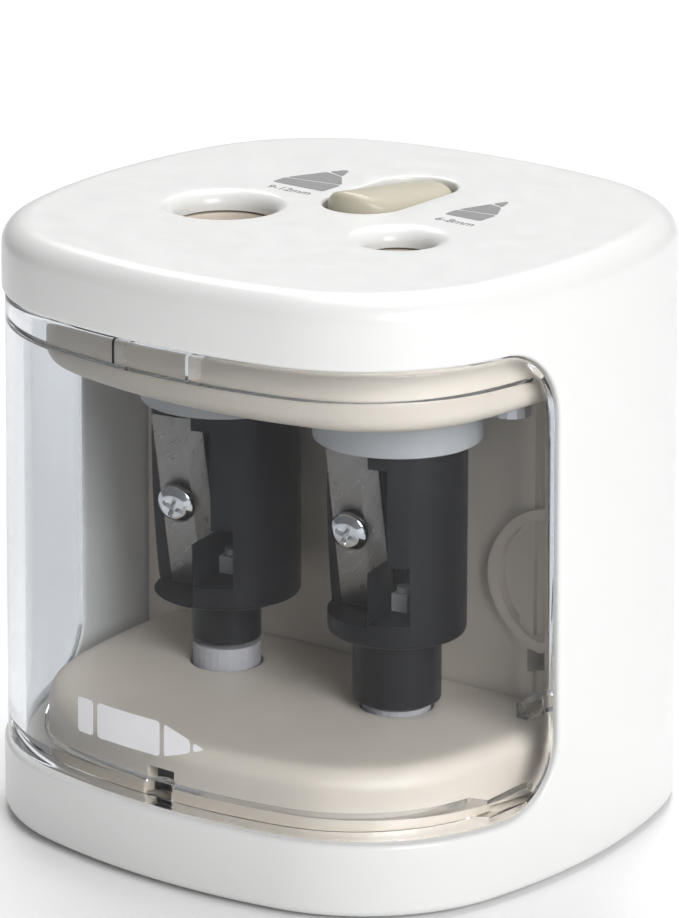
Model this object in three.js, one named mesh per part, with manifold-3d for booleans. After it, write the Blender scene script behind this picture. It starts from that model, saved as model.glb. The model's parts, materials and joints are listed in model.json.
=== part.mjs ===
// Battery pencil sharpener with two cutter heads, a clear pull-out shavings bin and a rocker on top.
// Millimetres, +Z up, the front faces -Y. The origin is the middle of the footprint, on the table.
import * as THREE from "three";
import { mergeVertices } from "three/addons/utils/BufferGeometryUtils.js";
import Module from "manifold-3d";

const wasm = await Module();
wasm.setup();

// Outside plan: bulging sides and fronts joined by round corners. All of these are radii or halves.
const body = { halfWidth: 38.5, halfDepth: 37.6, sideRadius: 75.4, frontRadius: 87.6, cornerRadius: 24 };
const footHeight = 0.6;
const bodyHeight = 74.6;
const wall = 2.4;
const draft = 0.013;
const topRound = 3;
const bottomRound = 1.2;
const gap = 0.3;
const bodyTop = footHeight + bodyHeight;

// Window for the clear bin, wrapping the front and both sides.
const windowBottom = 9.7;
const windowTop = 66.7;
const windowEnd = -7.2;
const windowCorner = 9;

// Clear bin.
const binInset = 0.4;
const binWall = 2.2;
const binFloor = 2.1;
const binRimHeight = 3.9;
const binRimWall = 3.2;

// Cutter heads: axis places, then one description for each side.
const headX = 13.14;
const headY = -5.93;
const flatTurn = 10.4;
const press = 0.5;
const cutterSlope = 0.2056;
const heads = [
  {
    side: "left", x: -headX, radius: 9, bottom: 26.1, top: 55.3, pencil: 6.2, tip: 0.9, tipZ: 26.6,
    stemRadius: 4.3, stemBottom: 20.1, stemTop: 26.4, hex: 2.2, dish: 7.9,
    bladeBottom: 26.8, bladeLength: 23.4,
  },
  {
    side: "right", x: headX, radius: 8.5, bottom: 26.6, top: 55.3, pencil: 4.3, tip: 0.7, tipZ: 28.2,
    stemRadius: 5.45, stemBottom: 17.9, stemTop: 29.1, hex: 2.6, dish: 6.5,
    bladeBottom: 29.6, bladeLength: 21,
  },
];
const blade = { width: 6.5, thick: 0.8, screwFromEdge: 4, bevel: 2.2 };
const screwHeadRadius = 2.5;

// Gear cover under the heads and guide bracket over them share one kind of plan.
const cover = { halfWidth: 31.9, halfDepth: 32.6, sideRadius: 80, frontRadius: 74, cornerRadius: 18.5 };
const coverTop = 16.8;
const coverWall = 1.6;
const bracket = { halfWidth: 32.6, halfDepth: 30.6, sideRadius: 80, frontRadius: 74, cornerRadius: 17 };
const bracketBottom = 57.6;
const bracketTop = 70.9;
const collarRadius = 10.3;
const collarBottom = 51.1;

// Inner frame: a front deck under the bin, a wall behind the heads and a rear deck for the motor.
const frontDeck = [8.2, 9.4];
const rearDeck = [9.5, 11];
const rearWall = [5.4, 7.2];
const rearWallTop = 66;

// Gear train: tooth counts on a 0.5 mm module, with the axles spaced by their pitch radii.
const gearModule = 0.5;
const teeth = {
  pinion: 8, reductionWheel: 40, reductionPinion: 10,
  centreWheel: 42, centreGear: 28, output: 26,
};
const layerA = [4.8, 6.8];
const layerB = [7.3, 9.1];
const layerC = [9.6, 13];
const centreAxis = [0, -2.83];
const motorAxis = [15.5, 16.5];
const axlePin = 1;
const axleBore = 1.3;

// Motor, cells and base.
const motor = { radius: 10.05, halfThick: 7.55, bottom: 11.3, canTop: 33, capTop: 36.4 };
const cell = { radius: 7.1, length: 50.5, nub: 1.5, nubRadius: 2.6, x: [-21.5, -6.5], y: 18.3, bottom: 2.7 };
const plate = [0.9, 3.3];
const bossTop = 7.9;
const screwPlaces = [[-26.1, -25.4], [26.1, -25.4], [-33.2, 3], [26.1, 25.4]];
const feetPlaces = [[-14, -30.4], [14, -30.4], [-14, 30.6], [14, 30.6]];
const door = { right: 2.4, front: 9.7, back: 26.9, tongue: 0.5, left: -36 };
const bayOpening = { left: -29.5, right: 1.3, front: 10.7, back: 25.9 };

// Rocker on the top.
const rocker = { y: 10, length: 19.2, width: 9.8, pivot: 72.2, tilt: 7, crown: 76.1 };
const rockerSlack = 0.7;

const round = 28;
const small = 14;

// ---- solids -------------------------------------------------------------------------------------

// A closed geometry as a solid that can be joined and cut. Flat slivers on an axis are dropped.
function solid(geometry) {
  const bare = geometry.clone();
  bare.deleteAttribute("normal");
  bare.deleteAttribute("uv");
  const merged = mergeVertices(bare, 1e-4);
  const index = merged.index.array;
  const kept = [];
  for (let i = 0; i < index.length; i += 3) {
    const [a, b, c] = [index[i], index[i + 1], index[i + 2]];
    if (a !== b && b !== c && c !== a) kept.push(a, b, c);
  }
  const made = toManifold(merged.attributes.position.array, kept);
  if (made.volume() > 0) return made;
  for (let i = 0; i < kept.length; i += 3) {
    [kept[i], kept[i + 1]] = [kept[i + 1], kept[i]];
  }
  return toManifold(merged.attributes.position.array, kept);
}

function toManifold(positions, triangles) {
  return new wasm.Manifold(
    new wasm.Mesh({
      numProp: 3,
      vertProperties: new Float32Array(positions),
      triVerts: new Uint32Array(triangles),
    }),
  );
}

function toGeometry(made) {
  const mesh = made.getMesh();
  const geometry = new THREE.BufferGeometry();
  geometry.setAttribute("position", new THREE.BufferAttribute(mesh.vertProperties, 3));
  geometry.setIndex(new THREE.BufferAttribute(mesh.triVerts, 1));
  geometry.computeVertexNormals();
  return geometry;
}

function joined(...pieces) {
  return pieces.reduce((whole, piece) => whole.add(piece));
}

function cut(whole, ...tools) {
  return tools.reduce((left, tool) => left.subtract(tool), whole);
}

// A box between two corners.
function box(x0, x1, y0, y1, z0, z1) {
  const geometry = new THREE.BoxGeometry(x1 - x0, y1 - y0, z1 - z0);
  return solid(geometry.translate((x0 + x1) / 2, (y0 + y1) / 2, (z0 + z1) / 2));
}

// An upright rod, or a cone when the radii differ.
function rod(x, y, z0, z1, lower, upper = lower, sides = small) {
  const geometry = new THREE.CylinderGeometry(upper, lower, z1 - z0, sides);
  geometry.rotateX(Math.PI / 2);
  return solid(geometry.translate(x, y, (z0 + z1) / 2));
}

// A closed [radius, height] profile turned about an upright axis.
function turned(x, y, profile, sides = round) {
  const points = profile.map(([r, z]) => new THREE.Vector2(r, z));
  points.push(points[0].clone());
  const geometry = new THREE.LatheGeometry(points, sides);
  geometry.rotateX(Math.PI / 2);
  return solid(geometry.translate(x, y, 0));
}

// A flat outline raised between two heights.
function prism(points, z0, z1) {
  const shape = new THREE.Shape(points);
  const geometry = new THREE.ExtrudeGeometry(shape, { depth: z1 - z0, bevelEnabled: false });
  return solid(geometry.translate(0, 0, z0));
}

// A stadium with its long axis along Y.
function pill(halfWidth, halfLength, sides) {
  const points = [];
  for (let i = 0; i <= sides; i += 1) {
    const angle = (Math.PI * i) / sides;
    points.push(new THREE.Vector2(Math.cos(angle), Math.sin(angle)).multiplyScalar(halfWidth));
    points[i].y += halfLength - halfWidth;
  }
  const back = points.map((p) => new THREE.Vector2(-p.x, -p.y));
  return [...points, ...back];
}

// ---- plans with bulging sides -------------------------------------------------------------------

// Corner circle that touches the side arc and the front arc from inside, in the first quadrant.
function cornerOf(plan) {
  const sideX = plan.halfWidth - plan.sideRadius;
  const frontY = plan.halfDepth - plan.frontRadius;
  const fromSide = plan.sideRadius - plan.cornerRadius;
  const fromFront = plan.frontRadius - plan.cornerRadius;
  const apart = Math.hypot(sideX, frontY);
  const along = (fromSide ** 2 - fromFront ** 2 + apart ** 2) / (2 * apart);
  const across = Math.sqrt(fromSide ** 2 - along ** 2);
  const ux = -sideX / apart;
  const uy = frontY / apart;
  const x = sideX + ux * along - uy * across;
  const y = uy * along + ux * across;
  return { x, y, sideX, frontY, first: Math.atan2(y, x - sideX), second: Math.atan2(y - frontY, x) };
}

// Outline of a plan moved in by inset: eight arcs about the same centres with smaller radii.
function outline(plan, inset = 0, perCorner = 6, perSide = 4) {
  const corner = cornerOf(plan);
  const quarter = [];
  const arc = (cx, cy, radius, from, to, count) => {
    for (let i = 0; i < count; i += 1) {
      const angle = from + ((to - from) * i) / count;
      quarter.push([cx + radius * Math.cos(angle), cy + radius * Math.sin(angle)]);
    }
  };
  arc(corner.sideX, 0, plan.sideRadius - inset, 0, corner.first, perSide / 2);
  arc(corner.x, corner.y, plan.cornerRadius - inset, corner.first, corner.second, perCorner);
  arc(0, corner.frontY, plan.frontRadius - inset, corner.second, Math.PI / 2, perSide / 2);
  const halves = [quarter, mirrored(quarter, plan, inset)].flat();
  const back = halves.map(([x, y]) => [-x, -y]);
  return [...halves, ...back].map(([x, y]) => new THREE.Vector2(x, y));
}

// The second quadrant, from the middle of the back round to the left side.
function mirrored(quarter, plan, inset) {
  const last = [0, plan.halfDepth - inset];
  return [last, ...quarter.slice(1).reverse().map(([x, y]) => [-x, y])];
}

// A plan stacked up through [height, inset] levels, so that one solid holds draft and soft edges.
function lofted(plan, inset, levels) {
  const shape = new THREE.Shape(outline(plan, inset));
  const last = levels.length - 1;
  const geometry = new THREE.ExtrudeGeometry(shape, { depth: last, steps: last, bevelEnabled: false });
  const place = geometry.attributes.position;
  for (let i = 0; i < place.count; i += 1) {
    const [height, inward] = levels[Math.round(place.getZ(i))];
    const scale = 1 - inward / plan.halfWidth;
    place.setXYZ(i, place.getX(i) * scale, place.getY(i) * scale, height);
  }
  return solid(geometry);
}

// Levels from bottom to top with rounded ends and the mould's draft.
function softLevels(bottom, top, bottomEdge, topEdge, slope, steps = 3) {
  const levels = [];
  for (let i = 0; i <= steps && bottomEdge > 0; i += 1) {
    const angle = (Math.PI / 2) * (i / steps);
    levels.push([bottom + bottomEdge * (1 - Math.cos(angle)), bottomEdge * (1 - Math.sin(angle))]);
  }
  if (bottomEdge === 0) levels.push([bottom, 0]);
  for (let i = 0; i <= steps && topEdge > 0; i += 1) {
    const angle = (Math.PI / 2) * (i / steps);
    levels.push([top - topEdge * (1 - Math.sin(angle)), topEdge * (1 - Math.cos(angle))]);
  }
  if (topEdge === 0) levels.push([top, 0]);
  return levels.map(([z, inward]) => [z, inward + slope * (z - footHeight)]);
}

// The inside of the shell moved in by inset, which every part that meets the wall is trimmed to.
function bodyCore(inset, bottom, top, edge = 0) {
  return lofted(body, inset, softLevels(bottom, top, 0, edge, draft));
}

// ---- casing -------------------------------------------------------------------------------------

// Everything in front of the window's round ends, as wide as the body. Inset shrinks it on all sides.
function windowTool(inset) {
  const radius = windowCorner - inset;
  const low = windowBottom + inset;
  const high = windowTop - inset;
  const end = windowEnd - inset;
  const shape = new THREE.Shape();
  shape.moveTo(-60, low);
  shape.lineTo(end - radius, low);
  shape.absarc(end - radius, low + radius, radius, -Math.PI / 2, 0, false);
  shape.absarc(end - radius, high - radius, radius, 0, Math.PI / 2, false);
  shape.lineTo(-60, high);
  const geometry = new THREE.ExtrudeGeometry(shape, { depth: 100, bevelEnabled: false, curveSegments: 8 });
  geometry.rotateX(Math.PI / 2);
  geometry.rotateZ(Math.PI / 2);
  return solid(geometry.translate(-50, 0, 0));
}

function pencilDish(head) {
  const depth = 1.8;
  const flare = [];
  for (let i = 0; i <= 4; i += 1) {
    const angle = (Math.PI / 2) * (i / 4);
    const r = head.pencil + 0.1 + (head.dish - head.pencil - 0.1) * (1 - Math.cos(angle));
    flare.push([r, bodyTop - depth + depth * Math.sin(angle)]);
  }
  const edge = flare.map(([r, z]) => [r, z]);
  return turned(head.x, headY, [[0, 60], [head.pencil + 0.1, 60], ...edge, [head.dish, 80], [0, 80]]);
}

function screwBoss([x, y], low, high, outer, hole) {
  return cut(rod(x, y, low, high, outer), rod(x, y, low - 1, high - 1.2, hole, hole, 12));
}

const bracketScrews = [[-27.4, -3.5], [27.4, -3.5]];

function housing() {
  const outside = lofted(body, 0, softLevels(footHeight, bodyTop, bottomRound, topRound, draft));
  let shell = cut(outside, bodyCore(wall, -1, bodyTop - wall, 1.5), windowTool(0));
  const inside = bodyCore(wall - 0.6, footHeight, bodyTop - 1);
  for (const place of screwPlaces) {
    shell = joined(shell, screwBoss(place, plate[1] + gap, bossTop, 3.6, 1.1).intersect(inside));
  }
  for (const place of bracketScrews) {
    shell = joined(shell, screwBoss(place, bracketBottom + 2, bodyTop - 1, 2.8, 1.1));
  }
  const slot = pill(rocker.width / 2 + 0.35, rocker.length / 2 + rockerSlack, 12);
  const slotTool = prism(slot.map((p) => new THREE.Vector2(p.x, p.y + rocker.y)), 60, 80);
  const doorWay = box(-45, -20, door.front - 1, door.back + 1, -1, plate[1] + 0.1);
  return cut(shell, ...heads.map(pencilDish), slotTool, doorWay);
}

function basePlate() {
  const whole = bodyCore(wall + gap, plate[0], plate[1]);
  const bay = box(bayOpening.left, bayOpening.right, bayOpening.front, bayOpening.back, 0, 5);
  const doorRoom = box(-45, door.right + gap, door.front - gap, door.back + gap, 0, 2.7);
  const reach = door.tongue + gap;
  const grooves = box(-45, door.right + gap, door.front - reach, door.back + reach, 1.4, 2.7);
  const bearings = heads.map((head) => rod(head.x, headY, plate[1] - 0.1, 4.5, 3));
  const collars = [centreAxis, reductionAxis].map(([x, y]) => rod(x, y, plate[1] - 0.1, 4.5, 2.4));
  const bearingHoles = heads.map((head) => rod(head.x, headY, 2.4, 6, 1.8));
  const axleHoles = [centreAxis, reductionAxis].map(([x, y]) => rod(x, y, 1.2, 6, axlePin + gap));
  const screwHoles = screwPlaces.map(([x, y]) => joined(rod(x, y, 0, 5, 1.8), rod(x, y, 0, 2, 3.2)));
  const footHoles = feetPlaces.map(([x, y]) => rod(x, y, 0, 1.8, 3.3));
  const solidPlate = joined(whole, ...bearings, ...collars);
  return cut(solidPlate, bay, doorRoom, grooves, ...bearingHoles, ...axleHoles, ...screwHoles, ...footHoles);
}

function batteryDoor() {
  const main = box(door.left - 4, door.right, door.front, door.back, plate[0], 2.4);
  const edges = box(door.left - 4, door.right, door.front - door.tongue, door.back + door.tongue, 1.7, 2.4);
  const recess = box(bayOpening.left + 0.3, bayOpening.right - 0.3, 11.2, 25.4, 2.05, 3);
  const grips = [-33.4, -32, -30.6].map((x) => box(x, x + 0.7, 13, 23.6, 0, plate[0] + 0.4));
  return cut(joined(main, edges).intersect(bodyCore(0.3, 0, 5)), recess, ...grips);
}

function doorContact() {
  return box(bayOpening.left + 0.6, bayOpening.right - 0.6, 11.5, 25.1, 2.1, 2.4);
}

function foot([x, y]) {
  return turned(x, y, [[0, 0], [2.6, 0], [3, 0.4], [3, 1.5], [0, 1.5]], small);
}

// A cheese-head screw pointing up, with a cross recess in its head.
function baseScrew([x, y]) {
  const head = rod(x, y, plate[0], 1.7, 2.7);
  const shank = rod(x, y, 1.6, 6.4, 1, 0.8, 12);
  return cut(joined(head, shank), crossRecess(0.9, 2.6, 0.5).translate([x, y, plate[0]]));
}

// Cross of two bars about the origin, depth deep on both sides of z = 0.
function crossRecess(depth, length, width) {
  const bar = box(-length / 2, length / 2, -width / 2, width / 2, -depth, depth);
  const other = box(-width / 2, width / 2, -length / 2, length / 2, -depth, depth);
  return joined(bar, other);
}

// ---- inner frame --------------------------------------------------------------------------------

// Arc rib, upright rib and dark slot that show at the right end of the chamber wall.
const archRib = { x: 28.8, z: 32.6, radius: 9.4, thick: 1.3, proud: 1.5 };
const interlock = { left: 24.6, right: 35, low: 20.6, high: 23.4 };

function chassis() {
  const core = bodyCore(wall + gap, 0, rearWallTop);
  const front = cut(
    box(-40, 40, -40, rearWall[0] + 0.1, ...frontDeck),
    prism(outline(cover, 2.2), 0, 20),
    box(-30, 30, -10, 20, 0, 20),
  );
  const ends = [-1, 1].map((s) => {
    const [inner, outer] = [32.3 * s, 38 * s];
    return box(Math.min(inner, outer), Math.max(inner, outer), 2.5, rearWall[1], frontDeck[0], rearDeck[1]);
  });
  const standing = box(-40, 40, ...rearWall, rearDeck[0], rearWallTop);
  const back = cut(
    box(-40, 40, rearWall[0], 40, ...rearDeck),
    box(bayOpening.left, bayOpening.right, bayOpening.front, bayOpening.back, 0, 20),
    rod(...motorAxis, 0, 20, 3),
  );
  const ring = new THREE.Shape().absarc(0, 0, archRib.radius, 0, Math.PI * 2, false);
  ring.holes.push(new THREE.Path().absarc(0, 0, archRib.radius - archRib.thick, 0, Math.PI * 2, true));
  const ringGeometry = new THREE.ExtrudeGeometry(ring, {
    depth: archRib.proud + 0.2,
    bevelEnabled: false,
    curveSegments: 16,
  });
  ringGeometry.rotateX(Math.PI / 2);
  ringGeometry.translate(archRib.x, rearWall[0] + 0.2, archRib.z);
  const upright = box(23.4, 25.4, rearWall[0] - 0.8, rearWall[0] + 0.2, 18, 57);
  const slot = box(interlock.left, interlock.right, 0, 10, interlock.low, interlock.high);
  const whole = joined(front, ...ends, standing, back, solid(ringGeometry), upright);
  return cut(whole.intersect(core), slot);
}

function gearCover() {
  const levels = (inset, bottom, top, edge) =>
    lofted(cover, inset, softLevels(bottom, top, 0, edge, 0));
  const outside = levels(0, frontDeck[1] + gap, coverTop, 2.4);
  const inside = levels(coverWall, 0, coverTop - coverWall, 1.2);
  const keep = box(-40, 40, -40, rearWall[0] - gap, 0, 30);
  const holes = heads.map((head) => rod(head.x, headY, 10, 20, 4.6, 4.6, round));
  const seatRod = rod(...centreAxis, layerC[1] + 0.3, coverTop - 0.5, 2.4);
  const axleSeat = cut(seatRod, rod(...centreAxis, 10, 15.4, 1.3));
  const notch = box(-3.6, 0.4, -36, -30.5, 0, 13.2);
  return cut(joined(cut(outside, inside), axleSeat).intersect(keep), ...holes, notch);
}

function guideBracket() {
  const outside = lofted(bracket, 0, softLevels(bracketBottom, bracketTop, 2.2, 0, 0));
  const inside = lofted(bracket, 1.8, softLevels(bracketBottom + 1.6, 80, 1.2, 0, 0));
  const tubes = heads.map((head) =>
    rod(head.x, headY, bracketBottom + 1, 72.5, head.pencil + 1.5, undefined, round));
  const bores = heads.map((head) => rod(head.x, headY, 50, 80, head.pencil + 0.1, undefined, round));
  const bossRoom = bracketScrews.map(([x, y]) => rod(x, y, bracketBottom - 1, 60, 1.5, 1.5, 16));
  const keep = box(-40, 40, -40, rearWall[0] - gap, 0, 80);
  const whole = joined(cut(outside, inside), ...tubes).intersect(keep);
  return cut(whole, ...bores, ...bossRoom);
}

function bracketScrew([x, y]) {
  const head = rod(x, y, bracketBottom - 1.9, bracketBottom - gap, 2.4);
  const shank = rod(x, y, bracketBottom - 0.4, 66, 0.9, 0.7, 12);
  return cut(joined(head, shank), crossRecess(0.8, 2.4, 0.5).translate([x, y, bracketBottom - 1.9]));
}

// Light grey bush that the top of a head turns in. Its roof lets only the pencil through.
function collar(head) {
  const inner = head.radius + 0.3;
  const hole = head.pencil + 0.1;
  const top = bracketBottom - gap;
  const profile = [
    [inner, collarBottom], [collarRadius - 0.3, collarBottom], [collarRadius, collarBottom + 0.3],
    [collarRadius, top], [hole, top], [hole, top - 0.8], [inner, top - 0.8],
  ];
  return turned(head.x, headY, profile);
}

// ---- clear bin ----------------------------------------------------------------------------------

function shavingsBin() {
  const outside = bodyCore(binInset, windowBottom, windowTop);
  const insideWall = bodyCore(binInset + binWall, windowBottom + gap + binFloor, windowTop - binRimHeight);
  const insideRim = bodyCore(binInset + binRimWall, windowTop - binRimHeight - 0.6, windowTop + 1);
  const floorRoom = prism(outline(cover, -0.5), 0, 20);
  const behind = box(-33, 33, -16, 0, 0, 20);
  const slits = [-5.5, 5.5].map((x) => box(x - 0.2, x + 0.2, -40, -30, windowTop - 3.4, windowTop + 1));
  const blank = cut(outside.intersect(windowTool(gap)), insideWall, insideRim, floorRoom, behind, ...slits);
  const tongueRoot = box(33.4, 36.3, -10.5, -7.6, interlock.low + 0.4, interlock.high - 0.4);
  const tongue = box(33.4, 35, -8, 3.2, interlock.low + 0.4, interlock.high - 0.4);
  const seat = rod(0, -35, windowBottom + gap + 1, windowBottom + gap + binFloor + 0.5, 2.2, 2);
  return joined(blank, tongueRoot, tongue, seat);
}

// ---- cutter heads -------------------------------------------------------------------------------

// Turns a solid made about the head's own axis, with its blade flat facing -Y, to its place.
function placeOnHead(head, made) {
  return made.rotate([0, 0, flatTurn]).translate([head.x, headY, 0]);
}

const slopeAngle = Math.atan(cutterSlope);

// Distance of the cutting line from the head's axis at a height.
function cutterRadius(head, z) {
  return head.tip + cutterSlope * (z - head.tipZ);
}

// Leans a solid that lies on y <= 0 so that its y = 0 face becomes the blade's seat.
function onSeat(head, made, z) {
  const lean = (slopeAngle * 180) / Math.PI;
  return made.rotate([lean, 0, 0]).translate([0, -cutterRadius(head, z), z]);
}

function cutterBody(head) {
  const { radius, bottom, top } = head;
  const shell = turned(0, 0, [
    [0, bottom], [radius - 0.8, bottom], [radius, bottom + 0.8], [radius, top], [0, top],
  ]);
  const stem = rod(0, 0, head.stemBottom, head.stemTop, head.stemRadius, undefined, round);
  const entry = (head.pencil - head.tip) / cutterSlope + head.tipZ;
  const bore = turned(0, 0, [
    [0, head.tipZ], [head.tip, head.tipZ], [head.pencil, entry], [head.pencil, top + 1], [0, top + 1],
  ]);
  const seatTop = collarBottom - 0.4 - head.tipZ;
  const seat = onSeat(head, box(-0.2, 12, -20, 0, -8, seatTop + 8), head.tipZ);
  const flatRoom = seat.mirror([1, 0, 0]);
  const seatLimit = box(-12, 12, -20, 12, head.bladeBottom - 0.4, collarBottom - 0.2);
  const trough = box(0, 2.6, -20, 0, head.tipZ + 8, collarBottom - 2);
  const windowLow = Math.max(bottom + 3, head.stemTop + 0.6);
  const chipWindow = box(0.3, 5, -20, 20, windowLow, bottom + 10.4);
  const socket = rod(0, 0, head.stemBottom - 1, head.stemBottom + 5.7, head.hex + 0.3, undefined, 6);
  const cleared = cut(shell, flatRoom.intersect(seatLimit), trough, chipWindow);
  return cut(joined(cleared, stem), bore, socket, screwPilot(head));
}

function screwPilot(head) {
  const z = head.bladeBottom + head.bladeLength / 2;
  const pilot = rod(0, 0, -3.2, 3, 1.1, 1.1, 12).rotate([90, 0, 0]);
  return onSeat(head, pilot.translate([-blade.screwFromEdge, 0, 0]), z);
}

// Steel blade: a plate with its cutting edge at x = 0 and a ground bevel beside it.
function cutterBlade(head) {
  const face = -0.3;
  const back = face - blade.thick;
  const section = [
    [0, face], [-blade.width, face], [-blade.width, back], [-blade.bevel, back], [0, face - 0.12],
  ];
  const points = section.map(([x, y]) => new THREE.Vector2(x, y));
  const geometry = new THREE.ExtrudeGeometry(new THREE.Shape(points), {
    depth: head.bladeLength,
    bevelEnabled: false,
  });
  const plateSolid = solid(geometry.translate(0, 0, -head.bladeLength / 2));
  const hole = rod(0, 0, -5, 5, 1.6, 1.6, 16).rotate([90, 0, 0]).translate([-blade.screwFromEdge, 0, 0]);
  return onSeat(head, cut(plateSolid, hole), head.bladeBottom + head.bladeLength / 2);
}

function bladeScrew(head) {
  const under = -(0.3 + blade.thick + gap);
  const profile = [
    [0, 2.4], [0.8, 2.4], [0.8, under], [screwHeadRadius, under], [screwHeadRadius, under - 0.6],
    [screwHeadRadius - 0.5, under - 1.2], [screwHeadRadius - 1.3, under - 1.5], [0, under - 1.6],
  ];
  const made = turned(0, 0, profile, 24);
  const recess = crossRecess(0.9, 2.9, 0.65).rotate([0, 0, 22]).translate([0, 0, under - 1.6]);
  const upright = cut(made, recess).rotate([-90, 0, 0]);
  const z = head.bladeBottom + head.bladeLength / 2;
  return onSeat(head, upright.translate([-blade.screwFromEdge, 0, 0]), z);
}

function tipStop(head) {
  const low = Math.max(head.bottom + 3, head.stemTop + 0.6) + gap;
  return joined(box(0.9, 3, -3.4, -1.2, low, low + 2.2), rod(1.95, -2.3, low + 2.1, low + 3, 0.8, 0.8, 12));
}

// Ring that carries the push of the pencil holder down onto the turning head.
function thrustRing(head) {
  const inner = head.pencil + 0.3;
  const outer = head.radius - 0.1;
  const ring = turned(0, 0, [[inner, 55.6], [outer, 55.6], [outer, 56.3], [inner, 56.3]]);
  return ring.translate([head.x, headY, 0]);
}

// ---- gears --------------------------------------------------------------------------------------

// Flat gear with straight-flanked teeth. The first tooth points along +X before turning by phase.
function gear(count, z0, z1, bore, phase) {
  const pitch = (gearModule * count) / 2;
  const tip = pitch + 0.36;
  const root = pitch - 0.56;
  const step = (Math.PI * 2) / count;
  const points = [];
  for (let i = 0; i < count; i += 1) {
    const middle = i * step + phase;
    for (const [radius, half] of [[root, 0.36], [tip, 0.17], [tip, -0.17], [root, -0.36]]) {
      const angle = middle - (half * gearModule * Math.PI) / (2 * pitch) / 0.62;
      points.push(new THREE.Vector2(Math.cos(angle), Math.sin(angle)).multiplyScalar(radius));
    }
  }
  const blank = prism(points, z0, z1);
  return bore ? cut(blank, rod(0, 0, z0 - 1, z1 + 1, bore, bore, 16)) : blank;
}

// Place of the reduction axle: pitch distances from the centre axle and from the motor.
function meetPoint([ax, ay], fromA, [bx, by], fromB) {
  const apart = Math.hypot(bx - ax, by - ay);
  const ux = (bx - ax) / apart;
  const uy = (by - ay) / apart;
  const along = (fromA ** 2 - fromB ** 2 + apart ** 2) / (2 * apart);
  const across = Math.sqrt(fromA ** 2 - along ** 2);
  return [ax + ux * along + uy * across, ay + uy * along - ux * across];
}

const pitchSum = (one, other) => (gearModule * (one + other)) / 2;
const fromCentre = pitchSum(teeth.reductionPinion, teeth.centreWheel);
const fromMotor = pitchSum(teeth.pinion, teeth.reductionWheel);
const reductionAxis = meetPoint(centreAxis, fromCentre, motorAxis, fromMotor);

// Phase that puts a gap of the driven gear opposite a tooth of the driver, for axles at two places.
function meshPhase(count, place, otherCount, otherPlace, otherPhase) {
  const heading = Math.atan2(otherPlace[1] - place[1], otherPlace[0] - place[0]);
  const otherTooth = ((heading + Math.PI - otherPhase) * otherCount) / (Math.PI * 2);
  const offset = otherTooth - Math.floor(otherTooth);
  return heading + ((offset + 0.5) * Math.PI * 2) / count;
}

const centrePhase = 0;
const reductionPhase = meshPhase(teeth.reductionPinion, reductionAxis, teeth.centreWheel, centreAxis, 0);
const pinionPhase = meshPhase(teeth.pinion, motorAxis, teeth.reductionWheel, reductionAxis, 0);

function centreGear() {
  const lower = gear(teeth.centreWheel, ...layerA, axleBore, centrePhase);
  const hub = rod(0, 0, layerA[1] - 0.1, layerC[0] + 0.1, 1.95);
  const upper = gear(teeth.centreGear, ...layerC, axleBore, 0);
  const bore = rod(0, 0, 0, 20, axleBore, axleBore, 16);
  return cut(joined(lower, hub, upper), bore).translate([...centreAxis, 0]);
}

function reductionGear() {
  const lower = gear(teeth.reductionPinion, layerA[0], layerB[0] + 0.1, 0, reductionPhase);
  const upper = gear(teeth.reductionWheel, ...layerB, 0, 0);
  return cut(joined(lower, upper), rod(0, 0, 0, 20, axleBore, axleBore, 16)).translate([...reductionAxis, 0]);
}

function motorPinion() {
  return gear(teeth.pinion, layerB[0] - 0.2, layerB[1] + 0.1, 0.95, pinionPhase).translate([...motorAxis, 0]);
}

// Output gear, hub and hexagonal post that drive one head.
function spindle(head) {
  const place = [head.x, headY];
  const phase = meshPhase(teeth.output, place, teeth.centreGear, centreAxis, 0);
  const hubTop = head.stemBottom - press - 0.1;
  const wheel = gear(teeth.output, layerC[0] + 0.3, layerC[1] - 0.3, 0, phase);
  const hub = rod(0, 0, layerC[1] - 0.4, hubTop, 4.2, undefined, round);
  const journal = rod(0, 0, 2.8, layerC[0] + 0.4, 1.5);
  const post = rod(0, 0, hubTop - 0.1, head.stemBottom + 2.5, head.hex, undefined, 6);
  return joined(wheel, hub, journal, post).translate([...place, 0]);
}

function headSpring(head) {
  const low = head.stemBottom + 2.7;
  const high = head.stemBottom + 5.4;
  return turned(head.x, headY, [[1.2, low], [1.6, low], [1.6, high], [1.2, high]], small);
}

// Bent bronze leaf under an output gear that closes the motor circuit when its head is pushed.
function startContact(head) {
  const y = headY;
  const pad = box(-2, 2, y - 15.4, y - 11, plate[1] + gap, plate[1] + gap + 0.4);
  const leg = box(-2, 2, y - 15.4, y - 15, plate[1] + gap, 9);
  const leaf = box(-2, 2, y - 15.4, y - 4, 8.7, 9);
  return joined(pad, leg, leaf).translate([head.x, 0, 0]);
}

// ---- motor, cells and switches ------------------------------------------------------------------

// Round can with two flats.
function motorOutline(inset) {
  const radius = motor.radius - inset;
  const flat = motor.halfThick - inset;
  const end = Math.asin(flat / radius);
  const side = [];
  const steps = 8;
  for (let i = 0; i <= steps; i += 1) {
    const angle = -end + (2 * end * i) / steps;
    side.push(new THREE.Vector2(radius * Math.cos(angle), radius * Math.sin(angle)));
  }
  const points = [...side, ...side.map((p) => new THREE.Vector2(-p.x, -p.y))];
  return points.map((p) => new THREE.Vector2(p.x + motorAxis[0], p.y + motorAxis[1]));
}

function motorCan() {
  const can = prism(motorOutline(0), motor.bottom, motor.canTop);
  const nose = rod(...motorAxis, rearDeck[0] + 0.3, motor.bottom + 0.1, 2.6);
  return cut(joined(can, nose), rod(...motorAxis, 5, 25, 1.05, 1.05, 16));
}

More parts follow.
